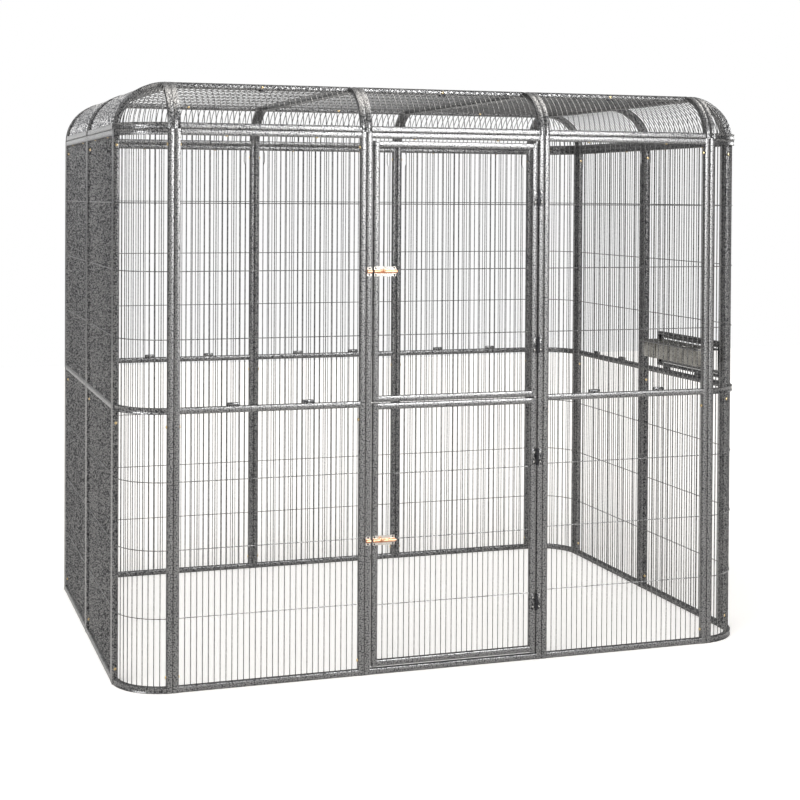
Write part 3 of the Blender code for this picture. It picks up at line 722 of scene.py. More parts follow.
def barred_panel(aside):
    bm = bmesh.new()
    add_posts_and_rails(bm, RAILS)
    places = panel_bar_places()
    add_upright_bars(bm, places[1:-1], TUBE - LET_IN, WALL_TOP - TUBE + LET_IN)
    add_stepped_bar(bm, places[0], TUBE - LET_IN, WALL_TOP - TUBE + LET_IN, aside)
    add_stepped_bar(bm, places[-1], TUBE - LET_IN, WALL_TOP - TUBE + LET_IN, -aside)
    add_cross_wires(bm, -CLEAR_HALF, CLEAR_HALF, CROSS_WIRES)
    add_saddles(bm)
    return as_mesh(bm, "barred_panel")


front_panel, panel = barred_panel(0), barred_panel(STEP_ASIDE)
print("panel:", len(panel.polygons), "faces, bars", round(BAR_PITCH * 1000, 2), "mm apart")

# %% [markdown]
# ### The panel with the feeder's opening
# The front bay of the right wall is the same panel, with a ring of narrow tube let into it
# for the feeder. The bars that would cross the opening stop at the ring, above and below.

# %% Feeder panel
RING = 0.010
RING_EDGE = 0.0012
FEEDER_LEFT = -PANEL_HALF + TUBE + RING
FEEDER_RIGHT = FEEDER_LEFT + 0.463
FEEDER_SILL = MID_RAIL + 0.033
FEEDER_HEAD = FEEDER_SILL + 0.113


def feeder_panel():
    """A panel whose bars make room for the feeder's ring."""
    bm = bmesh.new()
    add_posts_and_rails(bm, RAILS)
    low, high = TUBE - LET_IN, WALL_TOP - TUBE + LET_IN
    for k, x in enumerate(panel_bar_places()):
        if FEEDER_LEFT - RING < x < FEEDER_RIGHT + RING:
            add_upright_bars(bm, [x], low, FEEDER_SILL - RING + LET_IN)
            add_upright_bars(bm, [x], FEEDER_HEAD + RING - LET_IN, high)
        elif k == WALL_BARS - 1:
            add_stepped_bar(bm, x, low, high, -STEP_ASIDE)
        else:
            add_upright_bars(bm, [x], low, high)
    add_cross_wires(bm, -CLEAR_HALF, CLEAR_HALF, CROSS_WIRES)
    add_saddles(bm)
    front, back = 0.0003, TUBE - 0.0003
    for z in (FEEDER_SILL - RING, FEEDER_HEAD):
        add_tube(
            bm, (FEEDER_LEFT - RING, front, z), (FEEDER_RIGHT + RING, back, z + RING), RING_EDGE
        )
    for x in (FEEDER_LEFT - RING, FEEDER_RIGHT):
        low_end, high_end = FEEDER_SILL - LET_IN, FEEDER_HEAD + LET_IN
        add_plate(bm, (x, front, low_end), (x + RING, back, high_end), RING_EDGE, 2, 2)
    return as_mesh(bm, "feeder_panel")


def door_surround_panel():
    bm = bmesh.new()
    add_posts_and_rails(bm, (TUBE / 2, WALL_TOP - TUBE / 2))
    return as_mesh(bm, "door_surround_panel")


feeder_wall, surround = feeder_panel(), door_surround_panel()
for side, turn, distance, bays in SIDES:
    for k, bay in enumerate(bays):
        mesh = (front_panel if side == "front" else panel).copy()
        node = f"wall_{bay}"
        if bay == "front_middle":
            mesh, node = surround, "door_surround"
        if bay == "right_front":
            mesh = feeder_wall
        show(
            f"{node}_tubework", mesh, paint,
            wall_place(turn, distance, bay_offset(k, len(bays))), nodes=[node],
        )
print("walls shown:", sum(len(side[3]) for side in SIDES))

# %% [markdown]
# ## The quarter-round corners
# Two straight posts stand 150 mm apart on each leg of the corner, with three rolled rails,
# ten bars and rolled cross wires between them. Rolling the frame as a sheet would bend the
# posts too, so the posts stay straight tube and only the rails are spun.

# %% Corner panels
LEG = CORNER_RADIUS - TUBE
POST_TURN = math.degrees(math.asin(TUBE / (CORNER_RADIUS - TUBE / 2)))


def corner_bar_turns():
    """Angles of the ten bars, measured from -Y towards +X."""
    step = (90 - 2 * POST_TURN) / (CORNER_BARS + 1)
    return [POST_TURN + step * (k + 1) for k in range(CORNER_BARS)]


def on_arc(degrees, radius):
    turn = math.radians(degrees - 90)
    return radius * math.cos(turn), radius * math.sin(turn)


def corner_panel():
    bm = bmesh.new()
    add_tube(bm, (SEAM / 2, -CORNER_RADIUS, 0), (TUBE, -LEG, WALL_TOP))
    add_tube(bm, (LEG, -TUBE, 0), (CORNER_RADIUS, -SEAM / 2, WALL_TOP))
    inside_post = POST_TURN * 0.6
    for z in RAILS:
        absorb(bm, rolled_tube(z - TUBE / 2, z + TUBE / 2, inside_post, 90 - inside_post))
    for turn in corner_bar_turns():
        x, y = on_arc(turn, MID_DEPTH)
        add_bar(bm, (x, y, TUBE - LET_IN), (x, y, WALL_TOP - TUBE + LET_IN))
    for z in CROSS_WIRES:
        absorb(bm, rolled_bar(CORNER_RADIUS - WIRE_DEPTH, z, inside_post, 90 - inside_post))
    return as_mesh(bm, "corner_panel")


corner = corner_panel()
corner_places = {}
for name, turn, side_x, side_y in CORNERS:
    spot = Vector((side_x * (HALF_WIDTH - CORNER_RADIUS), side_y * (HALF_DEPTH - CORNER_RADIUS), 0))
    place = Matrix.Translation(spot) @ Matrix.Rotation(math.radians(turn), 4, "Z")
    corner_places[name] = place
    show(f"corner_{name}_tubework", corner.copy(), paint, place, nodes=[f"corner_{name}"])
print("corner:", len(corner.polygons), "faces")

# %% [markdown]
# ## The eaves
# Above each bay the wall turns into the roof: a base rail, two arches rolled like the
# corners, a top rail and thirty bent bars. The bars have no cross wires here. They leave the
# base rail at mid depth and end on top of the top rail, so from the front they cross it. The
# arch is the rolled tube of the corner, tipped up so that it rises from the wall. The base
# rail leans in a little with the arches, so it mirrors more of the lamp above than the wall's
# own rail below it.

# %% Eaves
BENT_RADIUS = 0.168
BENT_SHIFT = BENT_RADIUS - MID_DEPTH
BENT_RISE = EAVE_RISE - BAR_RADIUS - 0.0001
BEAM_TOP = EAVE_RISE - 2 * BAR_RADIUS
BENT_START = 5.5
BENT_STOP = 0.004
EAVE_ARCH = (0.1, 89.9)
BASE_LEAN = math.asin(TUBE / 2 / CORNER_RADIUS)


def bent_bar(distance, x=0):
    """A bar bent over the eave, from the base rail to some distance from its axis."""
    end = math.degrees(math.acos((distance + BENT_SHIFT) / BENT_RADIUS))
    bar = rolled_bar(BENT_RADIUS, 0, BENT_START, end)
    return tip_up(bar, x, BENT_SHIFT, BENT_RADIUS, BENT_RISE)


def eave_panel():
    bm = bmesh.new()
    for side in (-1, 1):
        x0, x1 = sorted((side * CLEAR_HALF, side * PANEL_HALF))
        absorb(bm, tip_up(rolled_tube(-x1, -x0, *EAVE_ARCH)))
    inner = CLEAR_HALF + LET_IN
    base = bmesh.new()
    add_tube(base, (-inner, -CORNER_RADIUS, SEAM), (inner, -LEG, TUBE))
    bmesh.ops.rotate(
        base, verts=base.verts[:], cent=(0, -CORNER_RADIUS, SEAM),
        matrix=Matrix.Rotation(-BASE_LEAN, 3, "X"),
    )
    absorb(bm, base)
    add_tube(bm, (-inner, -TUBE, EAVE_RISE - TUBE), (inner, -SEAM / 2, BEAM_TOP))
    for x in panel_bar_places():
        absorb(bm, bent_bar(BENT_STOP, x))
    return as_mesh(bm, "eave_panel")


eave = eave_panel()
for _, turn, distance, bays in SIDES:
    for k, bay in enumerate(bays):
        place = wall_place(turn, distance - CORNER_RADIUS, bay_offset(k, len(bays)), WALL_TOP)
        show(f"eave_{bay}_tubework", eave.copy(), paint, place, nodes=[f"eave_{bay}"])
print("eave:", len(eave.polygons), "faces")

# %% [markdown]
# ## The roof's round corners
# Where two eaves meet, two arches rise from a rolled base rail to one point, and ten bars
# fan up between them. Each bar is the bent bar of the eave, turned about the corner's axis
# and cut off where it meets the arch. The second arch sits a hair lower than the first, so
# that their tops don't share a face where they cross.

# %% Roof corners
DOME_BASE = (1.0, 89.0)
DOME_ARCH = (0.1, 89.3)
DOME_SINK = 0.0005
CROWN_CLEAR = 0.010


def dome_panel():
    bm = bmesh.new()
    absorb(bm, rolled_tube(SEAM, TUBE, *DOME_BASE))
    absorb(bm, tip_up(rolled_tube(-TUBE, -SEAM / 2, *DOME_ARCH)))
    second = tip_up(rolled_tube(SEAM / 2, TUBE, *DOME_ARCH))
    bmesh.ops.translate(second, verts=second.verts[:], vec=(0, 0, -DOME_SINK))
    turn_all(second, 90, "Z")
    absorb(bm, second)
    for turn in corner_bar_turns():
        nearest = math.sin(math.radians(min(turn, 90 - turn)))
        bar = bent_bar(min(MID_DEPTH - CROWN_CLEAR, (TUBE - LET_IN) / nearest))
        turn_all(bar, turn, "Z")
        absorb(bm, bar)
    return as_mesh(bm, "dome_panel")


dome = dome_panel()
for name, place in corner_places.items():
    lifted = Matrix.Translation((0, 0, WALL_TOP)) @ place
    show(f"dome_{name}_tubework", dome.copy(), paint, lifted, nodes=[f"dome_{name}"])
print("dome:", len(dome.polygons), "faces")

# %% [markdown]
# ## The flat roof
# Three panels run from front to back, one to a bay, with thirty bars each and cross wires
# over them. They hang level with the eaves' top rails.

# %% Roof panels
ROOF_REACH = (BAYS_DEEP * BAY - SEAM) / 2
ROOF_WIRE_PITCH = 0.1765


def roof_panel():
    bm = bmesh.new()
    for side in (-1, 1):
        x0, x1 = sorted((side * CLEAR_HALF, side * PANEL_HALF))
        add_tube(bm, (x0, -ROOF_REACH, -TUBE), (x1, ROOF_REACH, 0))
        y0, y1 = sorted((side * (ROOF_REACH - TUBE), side * ROOF_REACH))
        add_tube(bm, (-CLEAR_HALF - LET_IN, y0, -TUBE), (CLEAR_HALF + LET_IN, y1, 0))
    ends = ROOF_REACH - TUBE + LET_IN
    for x in panel_bar_places():
        add_bar(bm, (x, -ends, -TUBE / 2), (x, ends, -TUBE / 2))
    for k in range(-3, 4):
        y = k * ROOF_WIRE_PITCH
        inner = CLEAR_HALF + LET_IN
        add_bar(bm, (-inner, y, -WIRE_DEPTH), (inner, y, -WIRE_DEPTH))
    return as_mesh(bm, "roof_panel")


roof = roof_panel()
for k, name in enumerate(("left", "middle", "right")):
    place = Matrix.Translation((bay_offset(k, BAYS_WIDE), 0, ROOF_TOP))
    show(f"roof_{name}_tubework", roof.copy(), paint, place, nodes=[f"roof_{name}"])
print("roof:", len(roof.polygons), "faces")

# %% [markdown]
# ## Screws through the seams
# Neighbouring posts are held together by yellow zinc screws, a head on one side of the pair
# and a nut on the other. They are small, but they glint along every seam. Each is a short
# cylinder with its outer rim rounded, given by its radius, height, number of sides and
# rounding; a nut has six sides.

# %% Seam screws
HEAD = (0.0046, 0.0026, 14, 0.0009)
NUT = (0.0050, 0.0036, 6, 0.0005)


def add_button(bm, place, point, out, radius, height, sides, edge):
    """A screw head or a nut on a surface, its outer rim rounded."""
    start = place @ Vector(point)
    along = (place.to_3x3() @ Vector(out)).normalized()
    verts = add_bar(bm, start - along * 0.0003, start + along * height, radius, sides)
    far = [v for v in verts if (v.co - start).dot(along) > height / 2]
    rim = [e for e in edges_of(far) if all(v in far for v in e.verts)]
    round_off(bm, rim, edge)


def add_head_and_nut(bm, place, left_point, right_point, out):
    """A head on the left face, pointing along out, and a nut on the right one, against it."""
    add_button(bm, place, left_point, out, *HEAD)
    add_button(bm, place, right_point, [-c for c in out], *NUT)


screws = bmesh.new()
count = 0
for _, turn, distance, bays in SIDES:
    for k, bay in enumerate(bays):
        place = wall_place(turn, distance, bay_offset(k, len(bays)))
        if bay == "front_middle":
            continue
        for z in SCREW_HEIGHTS:
            left, right = (-CLEAR_HALF, TUBE / 2, z), (CLEAR_HALF, TUBE / 2, z)
            add_head_and_nut(screws, place, left, right, (1, 0, 0))
            count += 2
for place in corner_places.values():
    for z in SCREW_HEIGHTS:
        add_button(screws, place, (TUBE, -MID_DEPTH, z), (1, 0, 0), *HEAD)
        add_button(screws, place, (MID_DEPTH, -TUBE, z), (0, -1, 0), *NUT)
        count += 2
for _, turn, distance, bays in SIDES:
    for k, bay in enumerate(bays):
        place = wall_place(turn, distance, bay_offset(k, len(bays)))
        for x in (-CLEAR_HALF / 2, CLEAR_HALF / 2):
            add_button(screws, place, (x, TUBE / 2, WALL_TOP - TUBE), (0, 0, -1), *HEAD)
            count += 1
show("seam_screws", as_mesh(screws, "seam_screws"), zinc)
print("screws and nuts:", count)

# %% [markdown]
# ### Roof screws and clips
# In the middle of each bay one screw goes through the eave's top rail and the roof panel's
# end rail behind it, with its nut on the inside. A small dark clip under the front rails is
# for hanging things on.

# %% Roof screws and clips
CLIP_HALF = 0.011
CLIP_DEPTH = (-0.016, -0.004)
CLIP_DROP = 0.0045
CLIP_EDGE = 0.0015

roof_screws, clips = bmesh.new(), bmesh.new()
for _, turn, distance, bays in (SIDES[0], SIDES[2]):
    for k in range(len(bays)):
        place = wall_place(turn, distance - CORNER_RADIUS, bay_offset(k, len(bays)), WALL_TOP)
        middle = (EAVE_RISE - TUBE + BEAM_TOP) / 2
        add_button(roof_screws, place, (0, -TUBE, middle), (0, -1, 0), *HEAD)
        add_button(roof_screws, place, (0, TUBE + SEAM / 2, middle), (0, 1, 0), *NUT)
        if turn == 0:
            clip = bmesh.new()
            low = EAVE_RISE - TUBE
            front, back = CLIP_DEPTH
            start, end = (-CLIP_HALF, front, low - CLIP_DROP), (CLIP_HALF, back, low + LET_IN)
            add_block(clip, start, end, CLIP_EDGE)
            clip.transform(place)
            absorb(clips, clip)
show("roof_screws", as_mesh(roof_screws, "roof_screws"), zinc)
show("roof_clips", as_mesh(clips, "roof_clips"), black)
print("roof screws:", 2 * BAYS_WIDE)

# %% [markdown]
# ## The door leaves
# The door is split at the height of the middle rail, so that the keeper can open the lower
# or the upper half alone. Each leaf is a closed frame of the same tube with twenty-eight bars
# and three cross wires, and rides on its own hinge axis.

# %% Door leaves
DOOR_HALF = PANEL_HALF - TUBE - 0.005
DOOR_BARS = 28
LEAVES = {"upper": (0.900, 1.762), "lower": (0.026, 0.896)}
WIRE_DROP = {"upper": 0, "lower": 0.007}


def door_leaf(bottom, top, drop):
    bm = bmesh.new()
    inner = DOOR_HALF - TUBE
    for side in (-1, 1):
        x0, x1 = sorted((side * inner, side * DOOR_HALF))
        add_tube(bm, (x0, 0, bottom), (x1, TUBE, top))
    for z in (bottom, top - TUBE):
        add_tube(bm, (-inner - LET_IN, 0, z), (inner + LET_IN, TUBE, z + TUBE))
    pitch = 2 * inner / (DOOR_BARS + 1)
    places = [-inner + pitch * (k + 1) for k in range(DOOR_BARS)]
    add_upright_bars(bm, places, bottom + TUBE - LET_IN, top - TUBE + LET_IN)
    add_cross_wires(bm, -inner, inner, [z - drop for z in CROSS_WIRES if bottom < z < top])
    return as_mesh(bm, "door_leaf")


for which, (bottom, top) in LEAVES.items():
    leaf = door_leaf(bottom, top, WIRE_DROP[which])
    place = Matrix.Translation((0, -HALF_DEPTH, 0))
    show(f"{which}_door_tubework", leaf, paint, place, f"{which}_door", [f"{which}_door"])
print("leaves:", {k: round(v[1] - v[0], 3) for k, v in LEAVES.items()})

# %% [markdown]
# ## Hinges
# A butt hinge is two painted leaves whose knuckles share one pin. A knuckle is a short pipe,
# so its section, a small rectangle beside the axis, is spun right round; the leaf is a plate
# with its two free corners rounded and a fine bevel on its outline, which catches the light.
# The fixed leaf holds the outer knuckles and the moving one the middle knuckle. The knuckles
# are black, as is the pin that runs through all three: painted shade round the hinge's axis.

# %% Hinge parts
KNUCKLE = 0.0045
BORE = 0.0025
HINGE_PLATE = 0.0020
HINGE_SCREW = (0.0026, 0.0008, 12, 0.0004)


def add_pipe(bm, outer, inner, low, high, steps=24):
    """A pipe about Z: its section spun right round."""
    piece = bmesh.new()
    middle = (outer + inner) / 2
    place = Matrix.Translation((0, -middle, (low + high) / 2)) @ SECTION
    size = Matrix.Diagonal(((outer - inner) / 2, (high - low) / 2, 1, 1))
    bmesh.ops.create_grid(piece, x_segments=1, y_segments=1, size=1, matrix=place @ size)
    bmesh.ops.delete(piece, geom=piece.faces[:], context="FACES_ONLY")
    bmesh.ops.spin(
        piece, geom=piece.verts[:] + piece.edges[:], cent=(0, 0, 0), axis=(0, 0, 1),
        angle=math.tau, steps=steps, use_merge=True,
    )
    bmesh.ops.remove_doubles(piece, verts=piece.verts[:], dist=1e-6)
    bmesh.ops.recalc_face_normals(piece, faces=piece.faces[:])
    absorb(bm, piece)


def thirds(height):
    """Where the three knuckles of a hinge start and end."""
    step, low = height / 3, -height / 2
    return [(low + k * step + SEAM / 2, low + (k + 1) * step - SEAM / 2) for k in range(3)]


def hinge_leaf(side, knuckles, height, reach):
    """A leaf about the pin's axis; side is 1 where it lies towards +X and -1 towards -X."""
    bm = bmesh.new()
    near, front = KNUCKLE + 0.0010, KNUCKLE - HINGE_PLATE
    x0, x1 = sorted((side * near, side * reach))
    plate = box_verts(bm, (x0, front, -height / 2), (x1, KNUCKLE, height / 2))
    free = [e for e in edges_along(plate, 1) if abs(e.verts[0].co.x) > (near + reach) / 2]
    round_off(bm, free, 0.0030, 4)
    outline = [
        e for e in bm.edges
        if all(abs(v.co.y - front) < 1e-6 for v in e.verts) and e.calc_face_angle(0) > 1
    ]
    round_off(bm, outline, 0.0005)
    for k in knuckles:
        low, high = thirds(height)[k]
        x0, x1 = sorted((side * (BORE + 0.0004), side * (near + 0.0010)))
        box_verts(bm, (x0, front, low), (x1, KNUCKLE, high))
    return as_mesh(bm, "hinge_leaf")


def knuckle_row(knuckles, height):
    bm = bmesh.new()
    for k in knuckles:
        add_pipe(bm, KNUCKLE, BORE, *thirds(height)[k])
    return as_mesh(bm, "knuckle_row")


def turned(profile, steps=24):
    """A solid turned about Z from (radius, height) points that start and end on the axis."""
    bm = bmesh.new()
    verts = [bm.verts.new((radius, 0, height)) for radius, height in profile]
    edges = [bm.edges.new(pair) for pair in zip(verts, verts[1:])]
    bmesh.ops.spin(
        bm, geom=verts + edges, cent=(0, 0, 0), axis=(0, 0, 1), angle=math.tau,
        steps=steps, use_merge=True,
    )
    bmesh.ops.remove_doubles(bm, verts=bm.verts[:], dist=1e-6)
    bmesh.ops.recalc_face_normals(bm, faces=bm.faces[:])
    return bm


def hinge_pin(height):
    radius, head = BORE - 0.0004, KNUCKLE - 0.0004
    top, tail = height / 2 + SEAM, -height / 2 - SEAM
    return as_mesh(turned([
        (0, tail), (radius * 0.7, tail), (radius, tail + 0.0006), (radius, top), (head, top),
        (head, top + 0.0010), (head * 0.75, top + 0.0018), (0, top + 0.0020),
    ]), "hinge_pin")


def hinge_screws(side, height, reach):
    bm = bmesh.new()
    x = side * (KNUCKLE + reach) / 2
    for z in (-height * 0.30, height * 0.30):
        add_button(bm, Matrix(), (x, KNUCKLE - HINGE_PLATE, z), (0, -1, 0), *HINGE_SCREW)
    return as_mesh(bm, "hinge_screws")


def show_hinge(prefix, height, reach, post_side, place, body):
    """Both leaves, their screws and the pin, at an axis."""
    show(f"{prefix}_fixed_plate", hinge_leaf(post_side, (0, 2), height, reach), paint, place,
         nodes=[f"{prefix}_post_leaf"])
    show(f"{prefix}_fixed_screws", hinge_screws(post_side, height, reach), steel, place)
    show(f"{prefix}_moving_plate", hinge_leaf(-post_side, (1,), height, reach), paint, place,
         body, [f"{prefix}_door_leaf"])
    show(f"{prefix}_moving_screws", hinge_screws(-post_side, height, reach), steel, place,
         body)
    # The knuckles and the pin are black as painted shade, the shadow round the hinge's axis.
    show(f"{prefix}_fixed_knuckles", knuckle_row((0, 2), height), black, place)
    show(f"{prefix}_moving_knuckle", knuckle_row((1,), height), black, place, body)
    show(f"{prefix}_black_pin", hinge_pin(height), black, place,
         nodes=[f"{prefix}_pin"])


print("knuckle", KNUCKLE * 2000, "mm across")

# %% [markdown]
# ### Hinges on the doors
# Each leaf of the door hangs on two hinges. Their axis stands just in front of the face, half
# way across the gap between leaf and post, so that a leaf swings nearly flat against the wall.

# %% Door hinges
DOOR_AXIS = (PANEL_HALF - TUBE - 0.0025, -HALF_DEPTH - SEAM - KNUCKLE)
DOOR_HINGE_HEIGHT = 0.055
DOOR_HINGE_REACH = 0.018
DOOR_HINGES = {
    "upper_door_hinge_top": (LEAVES["upper"][1] - 0.183, "upper_door"),
    "upper_door_hinge_bottom": (LEAVES["upper"][0] + 0.176, "upper_door"),
    "lower_door_hinge_top": (LEAVES["lower"][1] - 0.202, "lower_door"),
    "lower_door_hinge_bottom": (LEAVES["lower"][0] + 0.172, "lower_door"),
}
for prefix, (height, body) in DOOR_HINGES.items():
    place = Matrix.Translation((*DOOR_AXIS, height))
    show_hinge(prefix, DOOR_HINGE_HEIGHT, DOOR_HINGE_REACH, 1, place, body)
print("door hinges at", [round(v[0], 3) for v in DOOR_HINGES.values()])

# %% [markdown]
# ## Barrel bolts
# A bolt is a bright plate with four screws, a copper-coloured barrel along its middle, and a
# rod that slides in it by a small knob; the keeper on the post has the same barrel, shorter.
# The barrel's slot, in which the knob's stem travels, is made by spinning the wall of that
# stretch of pipe less than right round.

# %% Bolt parts
BOLT_LENGTH = 0.076
BOLT_HEIGHT = 0.032
BOLT_PLATE = 0.0015
BOLT_SCREW = (0.0030, 0.0009, 14, 0.0005)
BARREL_BORE = 0.0042
BARREL = 0.0060
KNOB_PLACE = 0.030
KNOB_REACH = 0.0179
KNOB_RADIUS = 0.0055
STEM_RADIUS = 0.0023
ROD_RADIUS = 0.0036
KNOB_TILT = 20
THROW = 0.022
SLOT_SIDE = STEM_RADIUS + 0.0010
SLOT_START = KNOB_PLACE - THROW - SLOT_SIDE
SLOT_END = KNOB_PLACE + SLOT_SIDE


def add_split_pipe(bm, low, high, opening):
    """A pipe about Z with a slit of some degrees, whose middle is on -Y."""
    piece = bmesh.new()
    place = Matrix.Translation((0, -(BARREL + BARREL_BORE) / 2, (low + high) / 2)) @ SECTION
    size = Matrix.Diagonal(((BARREL - BARREL_BORE) / 2, (high - low) / 2, 1, 1))
    bmesh.ops.create_grid(piece, x_segments=1, y_segments=1, size=1, matrix=place @ size)
    turn_all(piece, opening / 2, "Z")
    spin_section(piece, 360 - opening, 24)
    absorb(bm, piece)


def barrel(length, slotted):
    bm = bmesh.new()
    if slotted:
        opening = 2 * math.degrees(math.asin(SLOT_SIDE / BARREL))
        add_pipe(bm, BARREL, BARREL_BORE, 0.0005, SLOT_START)
        add_split_pipe(bm, SLOT_START, SLOT_END, opening)
        add_pipe(bm, BARREL, BARREL_BORE, SLOT_END, length - 0.0005)
        turn_all(bm, KNOB_TILT, "Z")
    else:
        add_pipe(bm, BARREL, BARREL_BORE, 0.0005, length - 0.0005)
    turn_all(bm, 90, "Y")
    return as_mesh(bm, "barrel")


def bolt_plate(length, height):
    bm = bmesh.new()
    add_plate(bm, (0, BARREL - BOLT_PLATE, -height / 2), (length, BARREL, height / 2), 0.0028, 1)
    return as_mesh(bm, "bolt_plate")


def plate_screws(places):
    bm = bmesh.new()
    for x, z in places:
        add_button(bm, Matrix(), (x, BARREL - BOLT_PLATE, z), (0, -1, 0), *BOLT_SCREW)
    return as_mesh(bm, "plate_screws")


def rod_and_knob():
    """The rod along X, and the knob on its stem in front of it, as two meshes."""
    rod_end = BOLT_LENGTH + 0.004
    rod = turned([
        (0, 0), (ROD_RADIUS - 0.0006, 0), (ROD_RADIUS, 0.0006),
        (ROD_RADIUS, BOLT_LENGTH + 0.0034), (ROD_RADIUS - 0.0006, rod_end), (0, rod_end),
    ])
    turn_all(rod, 90, "Y")
    neck = KNOB_REACH - 2 * KNOB_RADIUS
    turns = [math.pi * k / 12 for k in range(1, 12)]
    ball = [(KNOB_RADIUS * math.sin(a), neck + KNOB_RADIUS * (1 - math.cos(a))) for a in turns]
    ball = [point for point in ball if point[0] > STEM_RADIUS or point[1] > KNOB_REACH / 2]
    stem = [(0, 0.001), (STEM_RADIUS, 0.001), (STEM_RADIUS, ball[0][1])]
    knob = turned([*stem, *ball, (0, KNOB_REACH)])
    turn_all(knob, 90, "X")
    turn_all(knob, -KNOB_TILT, "X")
    bmesh.ops.translate(knob, verts=knob.verts[:], vec=(KNOB_PLACE, 0, 0))
    return as_mesh(rod, "bolt_rod"), as_mesh(knob, "bolt_knob")


print("slot from", round(SLOT_START * 1000, 1), "to", round(SLOT_END * 1000, 1), "mm")

# %% [markdown]
# ### Bolts on the doors
# A bolt sits near the middle of each leaf's height, on the stile away from the hinges, with
# its keeper on the post beside it. The rod and the knob ride on the bolt's own body, so that
# they slide in the barrel.

# %% Bolts on the doors
BARREL_Y = -HALF_DEPTH - SEAM - BARREL
KEEPER_LENGTH = 0.016
KEEPER_HEIGHT = 0.030
BOLT_RISE = {"upper": 0.001, "lower": -0.017}
for which, (bottom, top) in LEAVES.items():
    door, slider, height = f"{which}_door", f"{which}_bolt", (bottom + top) / 2 + BOLT_RISE[which]
    place = Matrix.Translation((-DOOR_HALF + 0.001, BARREL_Y, height))
    show(f"{which}_bolt_plate", bolt_plate(BOLT_LENGTH, BOLT_HEIGHT), nickel, place, door,
         [f"{which}_bolt_body"])
    show(f"{which}_bolt_barrel", barrel(BOLT_LENGTH, True), copper, place, door)
    corners = [(x, z) for x in (0.006, BOLT_LENGTH - 0.006) for z in (-0.0115, 0.0115)]
    show(f"{which}_bolt_screws", plate_screws(corners), black, place, door)
    rod, knob = rod_and_knob()
    show(f"{which}_bolt_slider", rod, copper, place, slider, [f"{which}_bolt_rod"])
    show(f"{which}_bolt_knob", knob, copper, place, slider)
    keeper = Matrix.Translation((-CLEAR_HALF - TUBE / 2 - KEEPER_LENGTH / 2, BARREL_Y, height))
    show(f"{which}_keeper_plate", bolt_plate(KEEPER_LENGTH, KEEPER_HEIGHT), nickel, keeper,
         nodes=[f"{which}_bolt_keeper"])
    show(f"{which}_keeper_barrel", barrel(KEEPER_LENGTH, False), copper, keeper)
    ends = [(KEEPER_LENGTH / 2, -0.0108), (KEEPER_LENGTH / 2, 0.0108)]
    show(f"{which}_keeper_screws", plate_screws(ends), black, keeper)
    print(f"{which} bolt at", round(height, 3))

# %% [markdown]
# ## The feeder
# A narrow barred door in the right wall swings out with a rack behind it, and four steel
# cups hang in the rack by their rims, so that they are filled from outside. The door and the
# rack are small tubes and flat bar; a cup is a rounded block whose top face is inset and
# pushed down to make the hollow, with a flat rim laid round it.

# %% Feeder door and rack
FEEDER_GAP = 0.003
FEEDER_DEPTH = 0.012
FEEDER_BAR_PITCH = 0.019
CUPS = 4
CUP_PITCH = 0.110
CUP_RIM_TOP = 1.024
CUP_WALL = 0.0015
RACK_BAR = 0.008
RACK_EDGE = 0.0008
CELL_START, CELL_END = 0.0247, 0.1043
RACK_TOP = CUP_RIM_TOP - CUP_WALL - SEAM
RACK_LOW = RACK_TOP - 0.005
RACK_LEFT = FEEDER_LEFT + FEEDER_GAP + 0.004
RACK_RIGHT = RACK_LEFT + CUPS * CUP_PITCH


def feeder_door():
    bm = bmesh.new()
    left, right = FEEDER_LEFT + FEEDER_GAP, FEEDER_RIGHT - FEEDER_GAP
    bottom, top = FEEDER_SILL + FEEDER_GAP, FEEDER_HEAD - FEEDER_GAP
    for z in (bottom, top - RING):
        add_tube(bm, (left, 0, z), (right, FEEDER_DEPTH, z + RING), RING_EDGE)
    for x in (left, right - RING):
        low_end, high_end = bottom + LET_IN, top - LET_IN
        add_plate(bm, (x, 0, low_end), (x + RING, FEEDER_DEPTH, high_end), RING_EDGE, 2, 2)
    clear = right - left - 2 * RING
    bars = round(clear / FEEDER_BAR_PITCH) - 1
    middle = FEEDER_DEPTH / 2
    for k in range(bars):
        x = left + RING + clear / (bars + 1) * (k + 1)
        add_bar(bm, (x, middle, bottom + RING - LET_IN), (x, middle, top - RING + LET_IN))
    for start, end in ((0.002, CELL_START), (CELL_END, CELL_END + RACK_BAR / 2)):
        add_tube(bm, (RACK_LEFT, start, RACK_LOW), (RACK_RIGHT, end, RACK_TOP), RACK_EDGE)
    for k in range(CUPS + 1):
        x = RACK_LEFT + k * CUP_PITCH
        x0 = x if k == 0 else x - RACK_BAR / 2
        x1 = x if k == CUPS else x + RACK_BAR / 2
        add_tube(
            bm, (x0, CELL_START - 0.001, RACK_LOW), (x1, CELL_END + 0.001, RACK_TOP), RACK_EDGE
        )
    return as_mesh(bm, "feeder_door")


def feeder_place(x=0, y=0, z=0):
    """A place in the feeder wall's own frame."""
    return wall_place(90, HALF_WIDTH, bay_offset(0, BAYS_DEEP)) @ Matrix.Translation((x, y, z))


show("feeder_door_tubework", feeder_door(), paint, feeder_place(), "feeder_door", ["feeder_door"])
FEEDER_MIDDLE = (FEEDER_SILL + FEEDER_HEAD) / 2
FEEDER_HINGE_HEIGHT = 0.085
FEEDER_HINGE_REACH = 0.011
hinge_place = feeder_place(FEEDER_LEFT + FEEDER_GAP / 2, -SEAM - KNUCKLE, FEEDER_MIDDLE)
show_hinge(
    "feeder_hinge", FEEDER_HINGE_HEIGHT, FEEDER_HINGE_REACH, -1, hinge_place, "feeder_door"
)
print("feeder from", FEEDER_SILL, "to", FEEDER_HEAD)

# %% [markdown]
# ### The cups
# Each cup rides on a body of its own, so that it lifts out of the rack.

